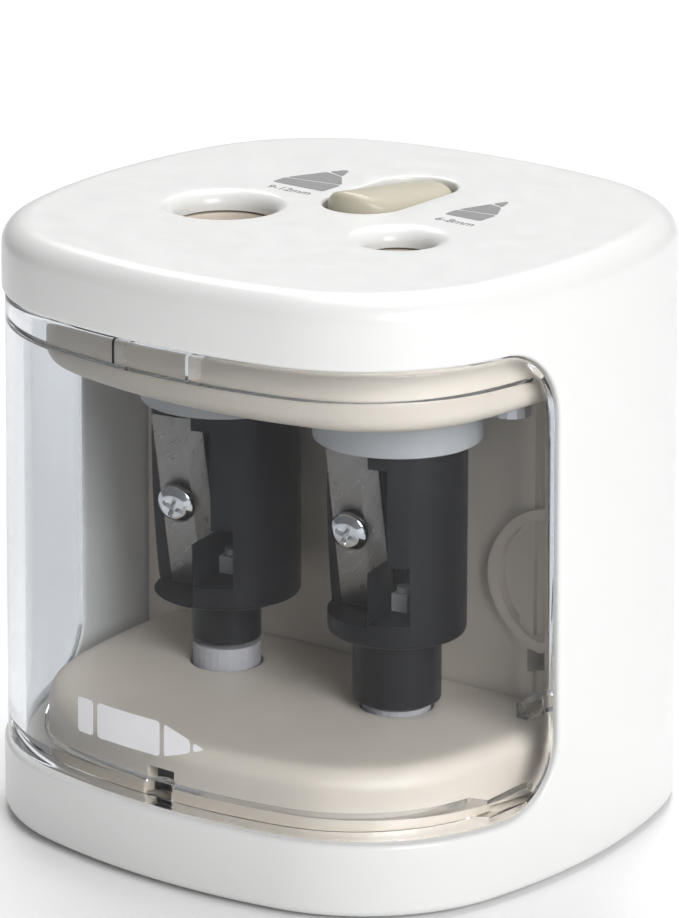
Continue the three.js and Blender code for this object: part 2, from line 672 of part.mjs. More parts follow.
function motorEndCap() {
  const cap = prism(motorOutline(0.4), motor.canTop + gap, motor.capTop);
  const tabs = [-1, 1].map((s) => {
    const x = motorAxis[0] + 6 * s;
    return box(x - 1, x + 1, motorAxis[1] - 0.25, motorAxis[1] + 0.25, motor.capTop - 0.2, motor.capTop + 3);
  });
  return joined(cap, ...tabs);
}

function motorShaft() {
  return rod(...motorAxis, layerB[0] - 0.5, 24, 0.75, 0.75, 12);
}

// Upright housing for the two cells, open below.
function batteryBay() {
  const rim = 0.9;
  const outside = box(-30.4, 2.2, 9.8, 26.8, rearDeck[1] + gap, 59.6);
  const inside = box(-30.4 + rim, 2.2 - rim, 9.8 + rim, 26.8 - rim, 0, 59.6 - rim);
  return cut(outside, inside).intersect(bodyCore(wall + gap, 0, 70));
}

function cellSolid(x, nubUp) {
  const low = cell.bottom;
  const high = low + cell.length;
  const base = nubUp ? low : low + cell.nub;
  const can = rod(x, cell.y, base, base + cell.length - cell.nub, cell.radius, undefined, round);
  const nubLow = nubUp ? high - cell.nub - 0.1 : low;
  return joined(can, rod(x, cell.y, nubLow, nubLow + cell.nub + 0.1, cell.nubRadius));
}

function cellSpring(x) {
  const low = cell.bottom + cell.length + gap;
  return turned(x, cell.y, [[2.9, low], [3.5, low], [3.9, 57.8], [3.3, 57.8]], small);
}

function cellContact(x) {
  return box(x - 5.5, x + 5.5, cell.y - 5.5, cell.y + 5.5, 58.1, 58.4);
}

// Pill-shaped rocker with a crowned top, a stem and a bore for its pin.
function rockerSwitch() {
  const halfWidth = rocker.width / 2;
  const crown = [];
  const steps = 6;
  for (let i = 0; i <= steps; i += 1) {
    const x = -halfWidth + (2 * halfWidth * i) / steps;
    crown.push(new THREE.Vector2(x, rocker.crown - 1.3 * (x / halfWidth) ** 2));
  }
  crown.push(new THREE.Vector2(halfWidth, 73.4), new THREE.Vector2(-halfWidth, 73.4));
  const along = { depth: rocker.length, bevelEnabled: false };
  const bar = new THREE.ExtrudeGeometry(new THREE.Shape(crown), along);
  bar.rotateX(Math.PI / 2);
  bar.translate(0, rocker.length / 2, 0);
  const plan = prism(pill(halfWidth, rocker.length / 2, 12), 60, 80);
  const stem = box(-2.6, 2.6, -1.9, 1.9, rocker.pivot - 2, 74);
  const bore = rod(0, 0, -8, 8, 1, 1, 16).rotate([0, 90, 0]).translate([0, 0, rocker.pivot]);
  const level = cut(joined(solid(bar).intersect(plan), stem), bore);
  const about = level.translate([0, 0, -rocker.pivot]).rotate([-rocker.tilt, 0, 0]);
  return about.translate([0, rocker.y, rocker.pivot]);
}

function rockerPin() {
  return rod(0, 0, -4.9, 4.9, 0.7, 0.7, 12).rotate([0, 90, 0]).translate([0, rocker.y, rocker.pivot]);
}

// Open-topped box under the rocker, with a hole in each cheek for the pin.
function switchBody() {
  const outside = box(-4.6, 4.6, rocker.y - 4.2, rocker.y + 4.2, 66.3, 72.5);
  const inside = box(-3.4, 3.4, rocker.y - 3.4, rocker.y + 3.4, 67.3, 80);
  const bore = rod(0, 0, -8, 8, 1, 1, 16).rotate([0, 90, 0]).translate([0, rocker.y, rocker.pivot]);
  return cut(outside, inside, bore, box(-6, 6, rocker.y - 1, rocker.y + 1, rocker.pivot, 80));
}

function interlockPlunger() {
  return joined(
    box(32.2, 34.6, 3.6, 9.2, interlock.low + 0.4, interlock.high - 0.4),
    box(32.6, 34.2, 8, 9.4, interlock.low + 0.6, interlock.high - 0.6),
  );
}

function interlockSwitch() {
  const outside = box(27.4, 35.5, rearWall[1] + gap, 13.4, 17, 27).intersect(bodyCore(wall + gap, 0, 60));
  return cut(outside, box(31.8, 45, 0, 11.4, interlock.low, interlock.high));
}

// ---- materials and assembly ---------------------------------------------------------------------

const finishes = {
  white: [0xf1eee8, 0.28, 0],
  inner: [0xe2dcd2, 0.42, 0],
  cream: [0xe6dcc4, 0.4, 0],
  grey: [0xb9bbba, 0.45, 0],
  clear: [0x8f8b88, 0.08, 0],
  black: [0x1c1d20, 0.35, 0],
  steel: [0x8d8a86, 0.3, 0.9],
  chrome: [0xc9ccce, 0.18, 1],
  brass: [0xc3a25a, 0.35, 0.9],
  acetal: [0xe8e6df, 0.45, 0],
  rubber: [0x3a3a3b, 0.9, 0],
  wrap: [0x3c5f73, 0.4, 0.2],
};

function finish(key) {
  const [color, roughness, metalness] = finishes[key];
  const made = new THREE.MeshStandardMaterial({ color, roughness, metalness });
  if (key === "clear") {
    made.transparent = true;
    made.opacity = 0.35;
  }
  return made;
}

const sharpener = new THREE.Group();

function add(name, made, key) {
  const mesh = new THREE.Mesh(toGeometry(made), finish(key));
  mesh.name = name;
  sharpener.add(mesh);
}

add("housing", housing(), "white");
add("base_plate", basePlate(), "white");
add("battery_door", batteryDoor(), "white");
add("door_contact", doorContact(), "brass");
feetPlaces.forEach((place, i) => add(`foot_${i + 1}`, foot(place), "rubber"));
screwPlaces.forEach((place, i) => add(`base_screw_${i + 1}`, baseScrew(place), "steel"));
add("inner_frame", chassis(), "inner");
add("gear_cover", gearCover(), "inner");
add("guide_bracket", guideBracket(), "inner");
bracketScrews.forEach((place, i) => add(`bracket_screw_${i + 1}`, bracketScrew(place), "steel"));
add("shavings_bin", shavingsBin(), "clear");
for (const head of heads) {
  add(`${head.side}_collar`, collar(head), "grey");
  add(`${head.side}_thrust_ring`, thrustRing(head), "acetal");
  add(`${head.side}_cutter_body`, placeOnHead(head, cutterBody(head)), "black");
  add(`${head.side}_blade`, placeOnHead(head, cutterBlade(head)), "steel");
  add(`${head.side}_blade_screw`, placeOnHead(head, bladeScrew(head)), "chrome");
  add(`${head.side}_tip_stop`, placeOnHead(head, tipStop(head)), "grey");
  add(`${head.side}_spindle`, spindle(head), "acetal");
  add(`${head.side}_head_spring`, headSpring(head), "steel");
  add(`${head.side}_start_contact`, startContact(head), "brass");
}
add("centre_gear", centreGear(), "acetal");
add("reduction_gear", reductionGear(), "acetal");
add("motor_pinion", motorPinion(), "brass");
add("centre_axle", rod(...centreAxis, 1.5, 14.8, axlePin, axlePin, 16), "steel");
add("reduction_axle", rod(...reductionAxis, 1.5, layerB[1] + 0.1, axlePin, axlePin, 16), "steel");
add("motor_can", motorCan(), "steel");
add("motor_end_cap", motorEndCap(), "acetal");
add("motor_shaft", motorShaft(), "steel");
add("battery_bay", batteryBay(), "inner");
cell.x.forEach((x, i) => {
  add(`cell_${i + 1}`, cellSolid(x, i === 0), "wrap");
  add(`cell_spring_${i + 1}`, cellSpring(x), "steel");
  add(`cell_contact_${i + 1}`, cellContact(x), "brass");
});
add("rocker_switch", rockerSwitch(), "cream");
add("rocker_pin", rockerPin(), "steel");
add("switch_body", switchBody(), "black");
add("interlock_plunger", interlockPlunger(), "black");
add("interlock_switch", interlockSwitch(), "black");

export default sharpener;
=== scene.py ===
import json
import math

import bmesh
import bpy
import numpy as np
from mathutils import Matrix, Vector, geometry


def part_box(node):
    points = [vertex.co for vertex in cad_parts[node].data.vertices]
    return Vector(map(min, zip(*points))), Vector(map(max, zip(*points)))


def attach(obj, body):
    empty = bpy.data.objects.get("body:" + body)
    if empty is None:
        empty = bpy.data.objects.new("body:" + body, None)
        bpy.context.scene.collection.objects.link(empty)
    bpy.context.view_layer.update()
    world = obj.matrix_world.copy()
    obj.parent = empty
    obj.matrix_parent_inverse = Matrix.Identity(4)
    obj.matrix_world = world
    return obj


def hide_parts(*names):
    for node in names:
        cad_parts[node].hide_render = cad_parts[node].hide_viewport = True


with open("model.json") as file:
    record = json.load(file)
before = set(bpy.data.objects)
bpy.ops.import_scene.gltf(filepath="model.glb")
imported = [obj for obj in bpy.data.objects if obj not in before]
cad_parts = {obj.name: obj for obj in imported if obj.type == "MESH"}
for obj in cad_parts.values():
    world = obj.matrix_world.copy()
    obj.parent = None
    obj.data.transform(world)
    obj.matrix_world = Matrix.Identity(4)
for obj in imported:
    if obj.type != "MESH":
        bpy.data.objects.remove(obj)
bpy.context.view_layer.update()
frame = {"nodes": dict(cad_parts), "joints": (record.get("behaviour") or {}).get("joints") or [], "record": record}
mm = 0.001  # shapes are worked out in millimetres and become metres as a mesh is made
axisOf = {j["name"]: np.array(j["pos_m"]) / mm for j in frame["joints"] if "pos_m" in j}
print("frame loaded,", len(frame["nodes"]), "nodes")


def boxOf(node):
    # lowest and highest corner of a CAD node, in millimetres
    low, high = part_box(node)
    return np.array(low) / mm, np.array(high) / mm


# Meshes from arrays

def gridFaces(rows, columns, closed=False, closedRows=False):
    # quad (i, j) joins points (i, j), (i, j + 1), (i + 1, j + 1), (i + 1, j); indexes wrap where closed
    i, j = np.meshgrid(np.arange(rows - (not closedRows)), np.arange(columns - (not closed)), indexing="ij")
    below = i * columns
    above = ((i + 1) % rows) * columns
    following = (j + 1) % columns
    return np.stack([below + j, below + following, above + following, above + j], -1).reshape(-1, 4)


def joinSheets(sheets):
    # points stacked in order, each sheet's faces moved up by the number of points before it
    counts = np.cumsum([0] + [len(points) for points, faces in sheets])
    faces = [(np.asarray(faces) + start).tolist() for (points, faces), start in zip(sheets, counts)]
    return np.vstack([points for points, faces in sheets]), sum(faces, [])


def finishShading(piece, angle=35):
    # smooth everywhere, sharp where two faces meet at more than the angle
    piece.data.shade_smooth()
    piece.data.set_sharp_from_angle(angle=math.radians(angle))
    return piece


def makePiece(name, sheets, merge=0.004, angle=35):
    # one object at the origin from sheets of (points, faces), doubles merged and normals turned out
    points, faces = joinSheets(sheets)
    mesh = bpy.data.meshes.new(name)
    mesh.from_pydata((points * mm).tolist(), [], faces)
    work = bmesh.new()
    work.from_mesh(mesh)
    bmesh.ops.remove_doubles(work, verts=work.verts, dist=merge * mm)
    bmesh.ops.dissolve_degenerate(work, edges=work.edges, dist=merge * mm * 0.1)
    bmesh.ops.recalc_face_normals(work, faces=work.faces)
    work.to_mesh(mesh)
    work.free()
    piece = bpy.data.objects.new(name, mesh)
    bpy.context.scene.collection.objects.link(piece)
    return finishShading(piece, angle)


def applyModifiers(piece):
    # the evaluated mesh takes the place of the mesh and its modifiers
    graph = bpy.context.evaluated_depsgraph_get()
    made = bpy.data.meshes.new_from_object(piece.evaluated_get(graph))
    piece.modifiers.clear()
    piece.data = made
    return piece


def carve(piece, tool, operation="DIFFERENCE"):
    # piece minus, plus or common with the tool, which is used up
    change = piece.modifiers.new("carve", "BOOLEAN")
    change.solver = "EXACT"
    change.operation = operation
    change.object = tool
    applyModifiers(piece)
    bpy.data.objects.remove(tool)
    return piece


def softenEdges(piece, width, segments=2, angle=32):
    # edges sharper than the angle get a round strip of the given width
    bevel = piece.modifiers.new("soft edges", "BEVEL")
    bevel.width = width * mm
    bevel.segments = segments
    bevel.limit_method = "ANGLE"
    bevel.angle_limit = math.radians(angle)
    bevel.harden_normals = False
    applyModifiers(piece)
    return finishShading(piece)


def moveMesh(piece, matrix):
    # the move goes into the mesh, so the object stays at the origin
    piece.data.transform(matrix)
    return piece


# Flat fills

def insideLoop(points, loop):
    # inside when a ray to the right crosses the loop an odd number of times
    x, y = points[:, :1], points[:, 1:2]
    ahead = np.roll(loop, -1, axis=0)
    crosses = (loop[:, 1] > y) != (ahead[:, 1] > y)
    rise = np.where(ahead[:, 1] == loop[:, 1], 1e-12, ahead[:, 1] - loop[:, 1])
    at = loop[:, 0] + (y - loop[:, 1]) * (ahead[:, 0] - loop[:, 0]) / rise
    return (crosses & (x < at)).sum(axis=1) % 2 == 1


def fillFlat(outer, holes, inside, clear):
    # Delaunay triangles between an outer loop and its holes, through the inside points that are
    # further than clear from every loop
    loops = [np.asarray(outer, float), *[np.asarray(hole, float) for hole in holes]]
    edge = np.vstack(loops)
    keep = insideLoop(inside, loops[0])
    for hole in loops[1:]:
        keep &= ~insideLoop(inside, hole)
    inside = inside[keep]
    if len(inside):
        apart = ((inside[:, None] - edge[None]) ** 2).sum(axis=-1).min(axis=1)
        inside = inside[apart > clear**2]
    starts = np.cumsum([0] + [len(loop) for loop in loops])
    sides = [np.stack([a + np.arange(b - a), a + (np.arange(b - a) + 1) % (b - a)], -1)
             for a, b in zip(starts[:-1], starts[1:])]
    known = np.vstack([edge, inside]).tolist()
    made = geometry.delaunay_2d_cdt(known, np.vstack(sides).tolist(), [], 0, 1e-7)
    points, triangles = np.array(made[0], float), np.array(made[2])
    middle = points[triangles].mean(axis=1)
    keep = insideLoop(middle, loops[0])
    for hole in loops[1:]:
        keep &= ~insideLoop(middle, hole)
    return points, triangles[keep]


def meshGrid(xs, ys):
    # every pair of an x and a y
    return np.stack(np.meshgrid(xs, ys), -1).reshape(-1, 2)


def spread(low, high, spacing):
    # even steps of about the spacing from low to high
    return np.linspace(low, high, max(2, int(round((high - low) / spacing)) + 1))


def atHeight(points, z):
    # flat points raised to one height
    return np.column_stack([points, np.full(len(points), z)])


def circleLoop(x, y, radius, sides=72):
    # x + r cos a, y + r sin a
    turn = np.arange(sides) * 2 * math.pi / sides
    return np.column_stack([x + radius * np.cos(turn), y + radius * np.sin(turn)])


def pillLoop(x, y, halfWidth, halfLength, sides=24):
    # two half circles of radius halfWidth, moved apart along Y
    turn = np.linspace(0, math.pi, sides + 1)
    reach = halfLength - halfWidth
    upper = np.column_stack([halfWidth * np.cos(turn), halfWidth * np.sin(turn) + reach])
    return np.vstack([upper, -upper]) + [x, y]


def roundedLoop(half, low, high, radius, spacing, offset=0.0):
    # rectangle with round corners, anticlockwise; offset moves it outwards with the same point count
    turn = np.linspace(0, math.pi / 2, 21)
    counts = [int((high - low - 2 * radius) / spacing), int((2 * half - 2 * radius) / spacing)] * 2
    middles = [(half - radius, low + radius), (half - radius, high - radius),
               (radius - half, high - radius), (radius - half, low + radius)]
    reach = radius + offset
    arcs = [np.column_stack([x + reach * np.cos(turn + start), y + reach * np.sin(turn + start)])
            for (x, y), start in zip(middles, np.array([-1, 0, 1, 2]) * math.pi / 2)]
    runs = [arc[-1] + (following[0] - arc[-1]) * np.linspace(0, 1, count + 1)[1:-1, None]
            for arc, following, count in zip(arcs, arcs[1:] + arcs[:1], counts)]
    return np.vstack([part for pair in zip(arcs, runs) for part in pair])


# Turned, raised and swept shapes

def softCorners(outline, radius, steps=4, closed=True):
    # each corner becomes (1-t)^2 before + 2t(1-t) corner + t^2 after, the ends a radius away from it
    outline = np.asarray(outline, float)
    before, after = np.roll(outline, 1, axis=0) - outline, np.roll(outline, -1, axis=0) - outline
    cutBack = lambda way: way * np.minimum(radius / np.linalg.norm(way, axis=1), 0.45)[:, None]
    t = np.linspace(0, 1, steps + 1)[None, :, None]
    start, end = (outline + cutBack(before))[:, None], (outline + cutBack(after))[:, None]
    curve = (1 - t) ** 2 * start + 2 * t * (1 - t) * outline[:, None] + t**2 * end
    if closed:
        return curve.reshape(-1, 2)
    return np.vstack([outline[:1], curve[1:-1].reshape(-1, 2), outline[-1:]])


def lathe(profile, x=0.0, y=0.0, sides=96, closed=True):
    # profile point (r, z) becomes (x + r cos a, y + r sin a, z) for every angle a
    profile = np.asarray(profile, float)
    turn = np.arange(sides) * 2 * math.pi / sides
    radius = profile[:, :1]
    height = np.broadcast_to(profile[:, 1:2], (len(profile), sides))
    points = np.stack([x + radius * np.cos(turn), y + radius * np.sin(turn), height], -1)
    return points.reshape(-1, 3), gridFaces(len(profile), sides, True, closed)


def prism(outline, low, high):
    # outline at two heights, joined by quads and closed by flat fills
    outline = np.asarray(outline, float)
    flat, triangles = fillFlat(outline, [], np.zeros((0, 2)), 0)
    wall = (np.vstack([atHeight(outline, low), atHeight(outline, high)]), gridFaces(2, len(outline), True))
    return [wall, (atHeight(flat, low), triangles), (atHeight(flat, high), triangles)]


def block(x0, x1, y0, y1, z0, z1):
    # a cutting tool, or a piece whose edges are softened later
    return makePiece("block", prism([(x0, y0), (x1, y0), (x1, y1), (x0, y1)], z0, z1))


def coil(x, y, low, high, radius, topRadius, wire, turns):
    # tube of a circle carried along (r cos a, r sin a, height), whose first and last turns lie flat
    steps = int(turns * 40)
    share = np.linspace(0, 1, steps + 1)
    climb = np.clip((share * turns - 1) / (turns - 2), 0, 1)
    reach = radius + (topRadius - radius) * climb
    turn = share * turns * 2 * math.pi
    ring = np.arange(10) * 2 * math.pi / 10
    out = reach[:, None] + wire * np.cos(ring)
    height = (low + wire + (high - low - 2 * wire) * climb)[:, None] + wire * np.sin(ring)
    points = np.stack([x + out * np.cos(turn)[:, None], y + out * np.sin(turn)[:, None], height], -1)
    caps = [(points[end], [list(range(10))]) for end in (0, -1)]
    return [(points.reshape(-1, 3), gridFaces(steps + 1, 10, True)), *caps]


# Plans with bulging sides: a side arc, a corner arc and a front arc in each quarter

body = {"halfWidth": 38.5, "halfDepth": 37.6, "sideRadius": 75.4, "frontRadius": 87.6, "cornerRadius": 24}
cover = {"halfWidth": 31.9, "halfDepth": 32.6, "sideRadius": 80, "frontRadius": 74, "cornerRadius": 18.5}
bracket = {"halfWidth": 32.6, "halfDepth": 30.6, "sideRadius": 80, "frontRadius": 74, "cornerRadius": 17}


def cornerOf(plan):
    # the corner circle touches both arcs from inside, so its middle is where circles about the arcs'
    # middles, smaller by the corner's radius, cross
    sideX = plan["halfWidth"] - plan["sideRadius"]
    frontY = plan["halfDepth"] - plan["frontRadius"]
    fromSide = plan["sideRadius"] - plan["cornerRadius"]
    fromFront = plan["frontRadius"] - plan["cornerRadius"]
    apart = math.hypot(sideX, frontY)
    along = (fromSide**2 - fromFront**2 + apart**2) / (2 * apart)
    across = math.sqrt(fromSide**2 - along**2)
    x = sideX - sideX / apart * along - frontY / apart * across
    y = frontY / apart * along - sideX / apart * across
    return x, y, sideX, frontY, math.atan2(y, x - sideX), math.atan2(y - frontY, x)


def planLengths(plan):
    # lengths of the front, corner and side arcs of one quarter
    first, second = cornerOf(plan)[4:]
    return (plan["frontRadius"] * (math.pi / 2 - second), plan["cornerRadius"] * (second - first),
            plan["sideRadius"] * first)


def planAt(plan, s, inset=0.0):
    # middle of the arc + (its radius - inset) (cos a, sin a), with s the way round from the front's
    # middle, positive to the right
    x, y, sideX, frontY, first, second = cornerOf(plan)
    front, bend, side = planLengths(plan)
    quarter = front + bend + side
    s = np.asarray(s, float)
    behind = np.abs(s) > quarter
    q = np.where(behind, 2 * quarter - np.abs(s), np.abs(s))
    onFront, onBend = q < front, (q >= front) & (q < front + bend)
    angle = np.where(onFront, math.pi / 2 - q / plan["frontRadius"],
                     np.where(onBend, second - (q - front) / plan["cornerRadius"],
                              first - (q - front - bend) / plan["sideRadius"]))
    rearward = np.where(onBend, plan["cornerRadius"], plan["sideRadius"])
    radius = np.where(onFront, plan["frontRadius"], rearward) - inset
    outX = np.where(onFront, 0, np.where(onBend, x, sideX)) + radius * np.cos(angle)
    outY = np.where(onFront, frontY, np.where(onBend, y, 0)) + radius * np.sin(angle)
    return outX * np.sign(s), outY * np.where(behind, 1, -1)


def wayToY(plan, y):
    # the s on the right side at which the plan reaches a given y
    s = np.linspace(0, 2 * sum(planLengths(plan)), 4001)
    return float(np.interp(y, planAt(plan, s)[1], s))


def levelsOf(low, high, lowEdge, highEdge, draft=0.0, steps=10):
    # (v, height, inward) up a side: quarter circles at the ends, the mould's draft between them, and v
    # the way along the side, equal to the height on the straight part
    turn = np.linspace(0, math.pi / 2, steps + 1)
    start = lowEdge * np.column_stack([1 - np.cos(turn), 1 - np.sin(turn)]) if lowEdge else np.zeros((1, 2))
    end = highEdge * np.column_stack([np.sin(turn) - 1, 1 - np.cos(turn)]) if highEdge else np.zeros((1, 2))
    z = np.concatenate([low + start[:, 0], high + end[:, 0]])
    inward = np.concatenate([start[:, 1], end[:, 1]])
    v = np.concatenate([[0], np.cumsum(np.hypot(np.diff(z), np.diff(inward)))])
    v += low + lowEdge - v[len(start) - 1]
    return v, z, inward + draft * (z - case["foot"])


def rowsOf(levels, spacing):
    # every level, with even steps over the long straight part
    v = levels[0]
    at = int(np.argmax(np.diff(v)))
    return np.concatenate([v[:at], spread(v[at], v[at + 1], spacing), v[at + 2:]])


def skinAt(plan, levels, s, v, inset=0.0):
    # plan point at s, drawn in by (1 - inward / half width), at the height for v
    s, v = np.broadcast_arrays(np.asarray(s, float), np.asarray(v, float))
    x, y = planAt(plan, s, inset)
    scale = 1 - np.interp(v, levels[0], levels[2]) / plan["halfWidth"]
    return np.column_stack([x * scale, y * scale, np.interp(v, levels[0], levels[1])])


def skinSheet(plan, levels, fill, inset=0.0):
    # a flat fill of (s, v) laid on the skin
    return skinAt(plan, levels, fill[0][:, 0], fill[0][:, 1], inset), fill[1]


# Finishes

finishes = {
    "white_shell": {"color": (0.75, 0.755, 0.745), "roughness": 0.32, "drift": 0.006, "grain": 0.0015,
                    "coat": 0.15},
    "inner_plastic": {"color": (0.72, 0.645, 0.55), "roughness": 0.42, "drift": 0.04, "grain": 0.030},
    "cream_plastic": {"color": (0.50, 0.465, 0.365), "roughness": 0.36, "drift": 0.03, "grain": 0.020},
    "grey_plastic": {"color": (0.42, 0.43, 0.435), "roughness": 0.45, "drift": 0.04, "grain": 0.030},
    "black_plastic": {"color": (0.008, 0.008, 0.010), "roughness": 0.34, "drift": 0.15, "grain": 0.006,
                      "specular": 0.16},
    "acetal": {"color": (0.42, 0.415, 0.43), "roughness": 0.40, "drift": 0.05, "grain": 0.020},
    "rubber": {"color": (0.05, 0.05, 0.05), "roughness": 0.80, "drift": 0.20, "grain": 0.120},
    "cell_wrap": {"color": (0.05, 0.13, 0.19), "roughness": 0.34, "drift": 0.10, "grain": 0.010,
                  "metal": 0.4},
    "blade_steel": {"color": (0.27, 0.255, 0.24), "roughness": 0.30, "drift": 0.10, "grain": 0.060,
                    "metal": 1.0, "stretch": (1, 14, 1)},
    "steel": {"color": (0.50, 0.50, 0.51), "roughness": 0.32, "drift": 0.08, "grain": 0.060, "metal": 1.0,
              "stretch": (1, 1, 9)},
    "chrome": {"color": (0.74, 0.75, 0.76), "roughness": 0.14, "drift": 0.04, "grain": 0.010, "metal": 1.0},
    "brass": {"color": (0.68, 0.48, 0.20), "roughness": 0.33, "drift": 0.08, "grain": 0.030, "metal": 1.0},
}
clear = {"color": (0.755, 0.775, 0.80), "ior": 1.25, "specular": 0.3, "roughness": 0.02, "scuff": 0.02,
         "shade": (0.96, 0.96, 0.96)}
prints = {"white": (0.80, 0.80, 0.82), "grey": (0.20, 0.20, 0.205)}


def noiseNode(nodes, links, coords, scale, detail=3.0, stretch=(1, 1, 1)):
    # noise over object coordinates, scale in lumps per metre, drawn out where stretch is above one
    turn = nodes.new("ShaderNodeMapping")
    turn.inputs["Scale"].default_value = stretch
    noise = nodes.new("ShaderNodeTexNoise")
    noise.inputs["Scale"].default_value = scale
    noise.inputs["Detail"].default_value = detail
    links.new(coords.outputs["Object"], turn.inputs["Vector"])
    links.new(turn.outputs["Vector"], noise.inputs["Vector"])
    return noise


def rangeNode(nodes, links, source, low, high):
    # noise from 0.3 to 0.7 becomes low to high
    fit = nodes.new("ShaderNodeMapRange")
    fit.inputs["From Min"].default_value = 0.3
    fit.inputs["From Max"].default_value = 0.7
    fit.inputs["To Min"].default_value = low
    fit.inputs["To Max"].default_value = high
    links.new(source.outputs["Fac"], fit.inputs["Value"])
    return fit


def bumpNode(nodes, links, source, strength, distance):
    # surface relief from a noise
    bump = nodes.new("ShaderNodeBump")
    bump.inputs["Strength"].default_value = strength
    bump.inputs["Distance"].default_value = distance
    links.new(source.outputs["Fac"], bump.inputs["Height"])
    return bump


def makeFinish(name, look):
    # colour drifts slowly between a darker and a lighter tone, roughness follows finer lumps, and the
    # finest lumps or drawn-out lines stand in the surface
    material = bpy.data.materials.new(name)
    material.use_nodes = True
    nodes, links = material.node_tree.nodes, material.node_tree.links
    shader = nodes["Principled BSDF"]
    coords = nodes.new("ShaderNodeTexCoord")
    stretch = look.get("stretch", (1, 1, 1))
    tone = nodes.new("ShaderNodeValToRGB")
    tone.color_ramp.elements[0].position = 0.32
    tone.color_ramp.elements[1].position = 0.68
    for element, sign in zip(tone.color_ramp.elements, (-1, 1)):
        element.color = (*[channel * (1 + sign * look["drift"]) for channel in look["color"]], 1)
    links.new(noiseNode(nodes, links, coords, 90, 4, stretch).outputs["Fac"], tone.inputs["Fac"])
    links.new(tone.outputs["Color"], shader.inputs["Base Color"])
    patches = noiseNode(nodes, links, coords, 420, 3, stretch)
    rough = rangeNode(nodes, links, patches, look["roughness"] * 0.88, look["roughness"] * 1.12)
    links.new(rough.outputs["Result"], shader.inputs["Roughness"])
    grain = noiseNode(nodes, links, coords, 5200, 2, stretch)
    relief = bumpNode(nodes, links, grain, 0.5, look["grain"] * mm)
    links.new(relief.outputs["Normal"], shader.inputs["Normal"])
    shader.inputs["Metallic"].default_value = look.get("metal", 0.0)
    shader.inputs["Coat Weight"].default_value = look.get("coat", 0.0)
    shader.inputs["Coat Roughness"].default_value = 0.12
    shader.inputs["Specular IOR Level"].default_value = look.get("specular", 0.5)
    return material


def makeClear(name, look):
    # smoke-tinted clear plastic with faint flow waves and slightly scuffed patches; rays from lamps go
    # straight through it, dimmed by the shade
    material = bpy.data.materials.new(name)
    material.use_nodes = True
    nodes, links = material.node_tree.nodes, material.node_tree.links
    shader = nodes["Principled BSDF"]
    coords = nodes.new("ShaderNodeTexCoord")
    shader.inputs["Base Color"].default_value = (*look["color"], 1)
    shader.inputs["Transmission Weight"].default_value = 1.0
    shader.inputs["IOR"].default_value = look["ior"]
    shader.inputs["Specular IOR Level"].default_value = look["specular"]
    patches = noiseNode(nodes, links, coords, 260, 4)
    rough = rangeNode(nodes, links, patches, look["roughness"], look["roughness"] + look["scuff"])
    links.new(rough.outputs["Result"], shader.inputs["Roughness"])
    waves = noiseNode(nodes, links, coords, 45, 1, (1, 1, 0.4))
    relief = bumpNode(nodes, links, waves, 0.15, 0.02 * mm)
    links.new(relief.outputs["Normal"], shader.inputs["Normal"])
    through = nodes.new("ShaderNodeBsdfTransparent")
    through.inputs["Color"].default_value = (*look["shade"], 1)
    ray = nodes.new("ShaderNodeLightPath")
    mix = nodes.new("ShaderNodeMixShader")
    links.new(ray.outputs["Is Shadow Ray"], mix.inputs["Fac"])
    links.new(shader.outputs["BSDF"], mix.inputs[1])
    links.new(through.outputs["BSDF"], mix.inputs[2])
    links.new(mix.outputs["Shader"], nodes["Material Output"].inputs["Surface"])
    return material


materials = {name: makeFinish(name, look) for name, look in finishes.items()}
materials["smoke_clear"] = makeClear("smoke_clear", clear)
for tint, color in prints.items():
    inkLook = {"color": color, "roughness": 0.5, "drift": 0.05, "grain": 0.02}
    materials["print_" + tint] = makeFinish("print_" + tint, inkLook)
print("finishes made,", len(materials))


def finishPiece(piece, rides, slot, *nodes, material=None):
    # finish, body and the CAD nodes that the piece stands for
    piece.data.materials.clear()
    piece.data.materials.append(materials[material or slot])
    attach(piece, rides)
    if nodes:
        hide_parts(*nodes)
    print("made", piece.name, len(piece.data.polygons), "faces")
    return piece


# Casing

case = {"foot": 0.6, "top": 75.2, "wall": 2.4, "draft": 0.013, "topRound": 3.0, "bottomRound": 1.2,
        "innerRound": 1.5, "spacing": 1.5, "doorTop": 3.4, "doorGap": 0.5, "dishDepth": 1.8}
window = {"low": 9.7, "high": 66.7, "end": -7.2, "corner": 9.0, "edge": 0.55}
heads = {
    "left": {"radius": 9.0, "bottom": 26.1, "top": 55.3, "pencil": 6.2, "tip": 0.9, "tipZ": 26.6,
             "stemRadius": 4.3, "stemBottom": 20.1, "stemTop": 26.4, "hex": 2.2, "dish": 7.9,
             "bladeBottom": 26.8, "bladeLength": 23.4},
    "right": {"radius": 8.5, "bottom": 26.6, "top": 55.3, "pencil": 4.3, "tip": 0.7, "tipZ": 28.2,
              "stemRadius": 5.45, "stemBottom": 17.9, "stemTop": 29.1, "hex": 2.6, "dish": 6.5,
              "bladeBottom": 29.6, "bladeLength": 21.0},
}
for side, head in heads.items():
    head["x"], head["y"] = axisOf[side + "_head_spin"][:2]
rocker = {"y": axisOf["rocker_tilt"][1], "pivot": axisOf["rocker_tilt"][2],
          "halfWidth": 4.9, "halfLength": 9.6, "tilt": 7.0, "crown": 76.1, "crownDrop": 1.3, "low": 73.4,
          "edge": 0.9, "slotEdge": 0.4, "sideGap": 0.35, "endGap": 0.7}
bosses = {"screws": [(-26.1, -25.4), (26.1, -25.4), (-33.2, 3.0), (26.1, 25.4)], "radius": 3.6, "hole": 1.1,
          "low": 3.6, "high": 7.9}
windowHalf = wayToY(body, window["end"])


def windowLoop(offset=0.0):
    # the window's outline in (s, height)
    return roundedLoop(windowHalf, window["low"], window["high"], window["corner"], case["spacing"], offset)


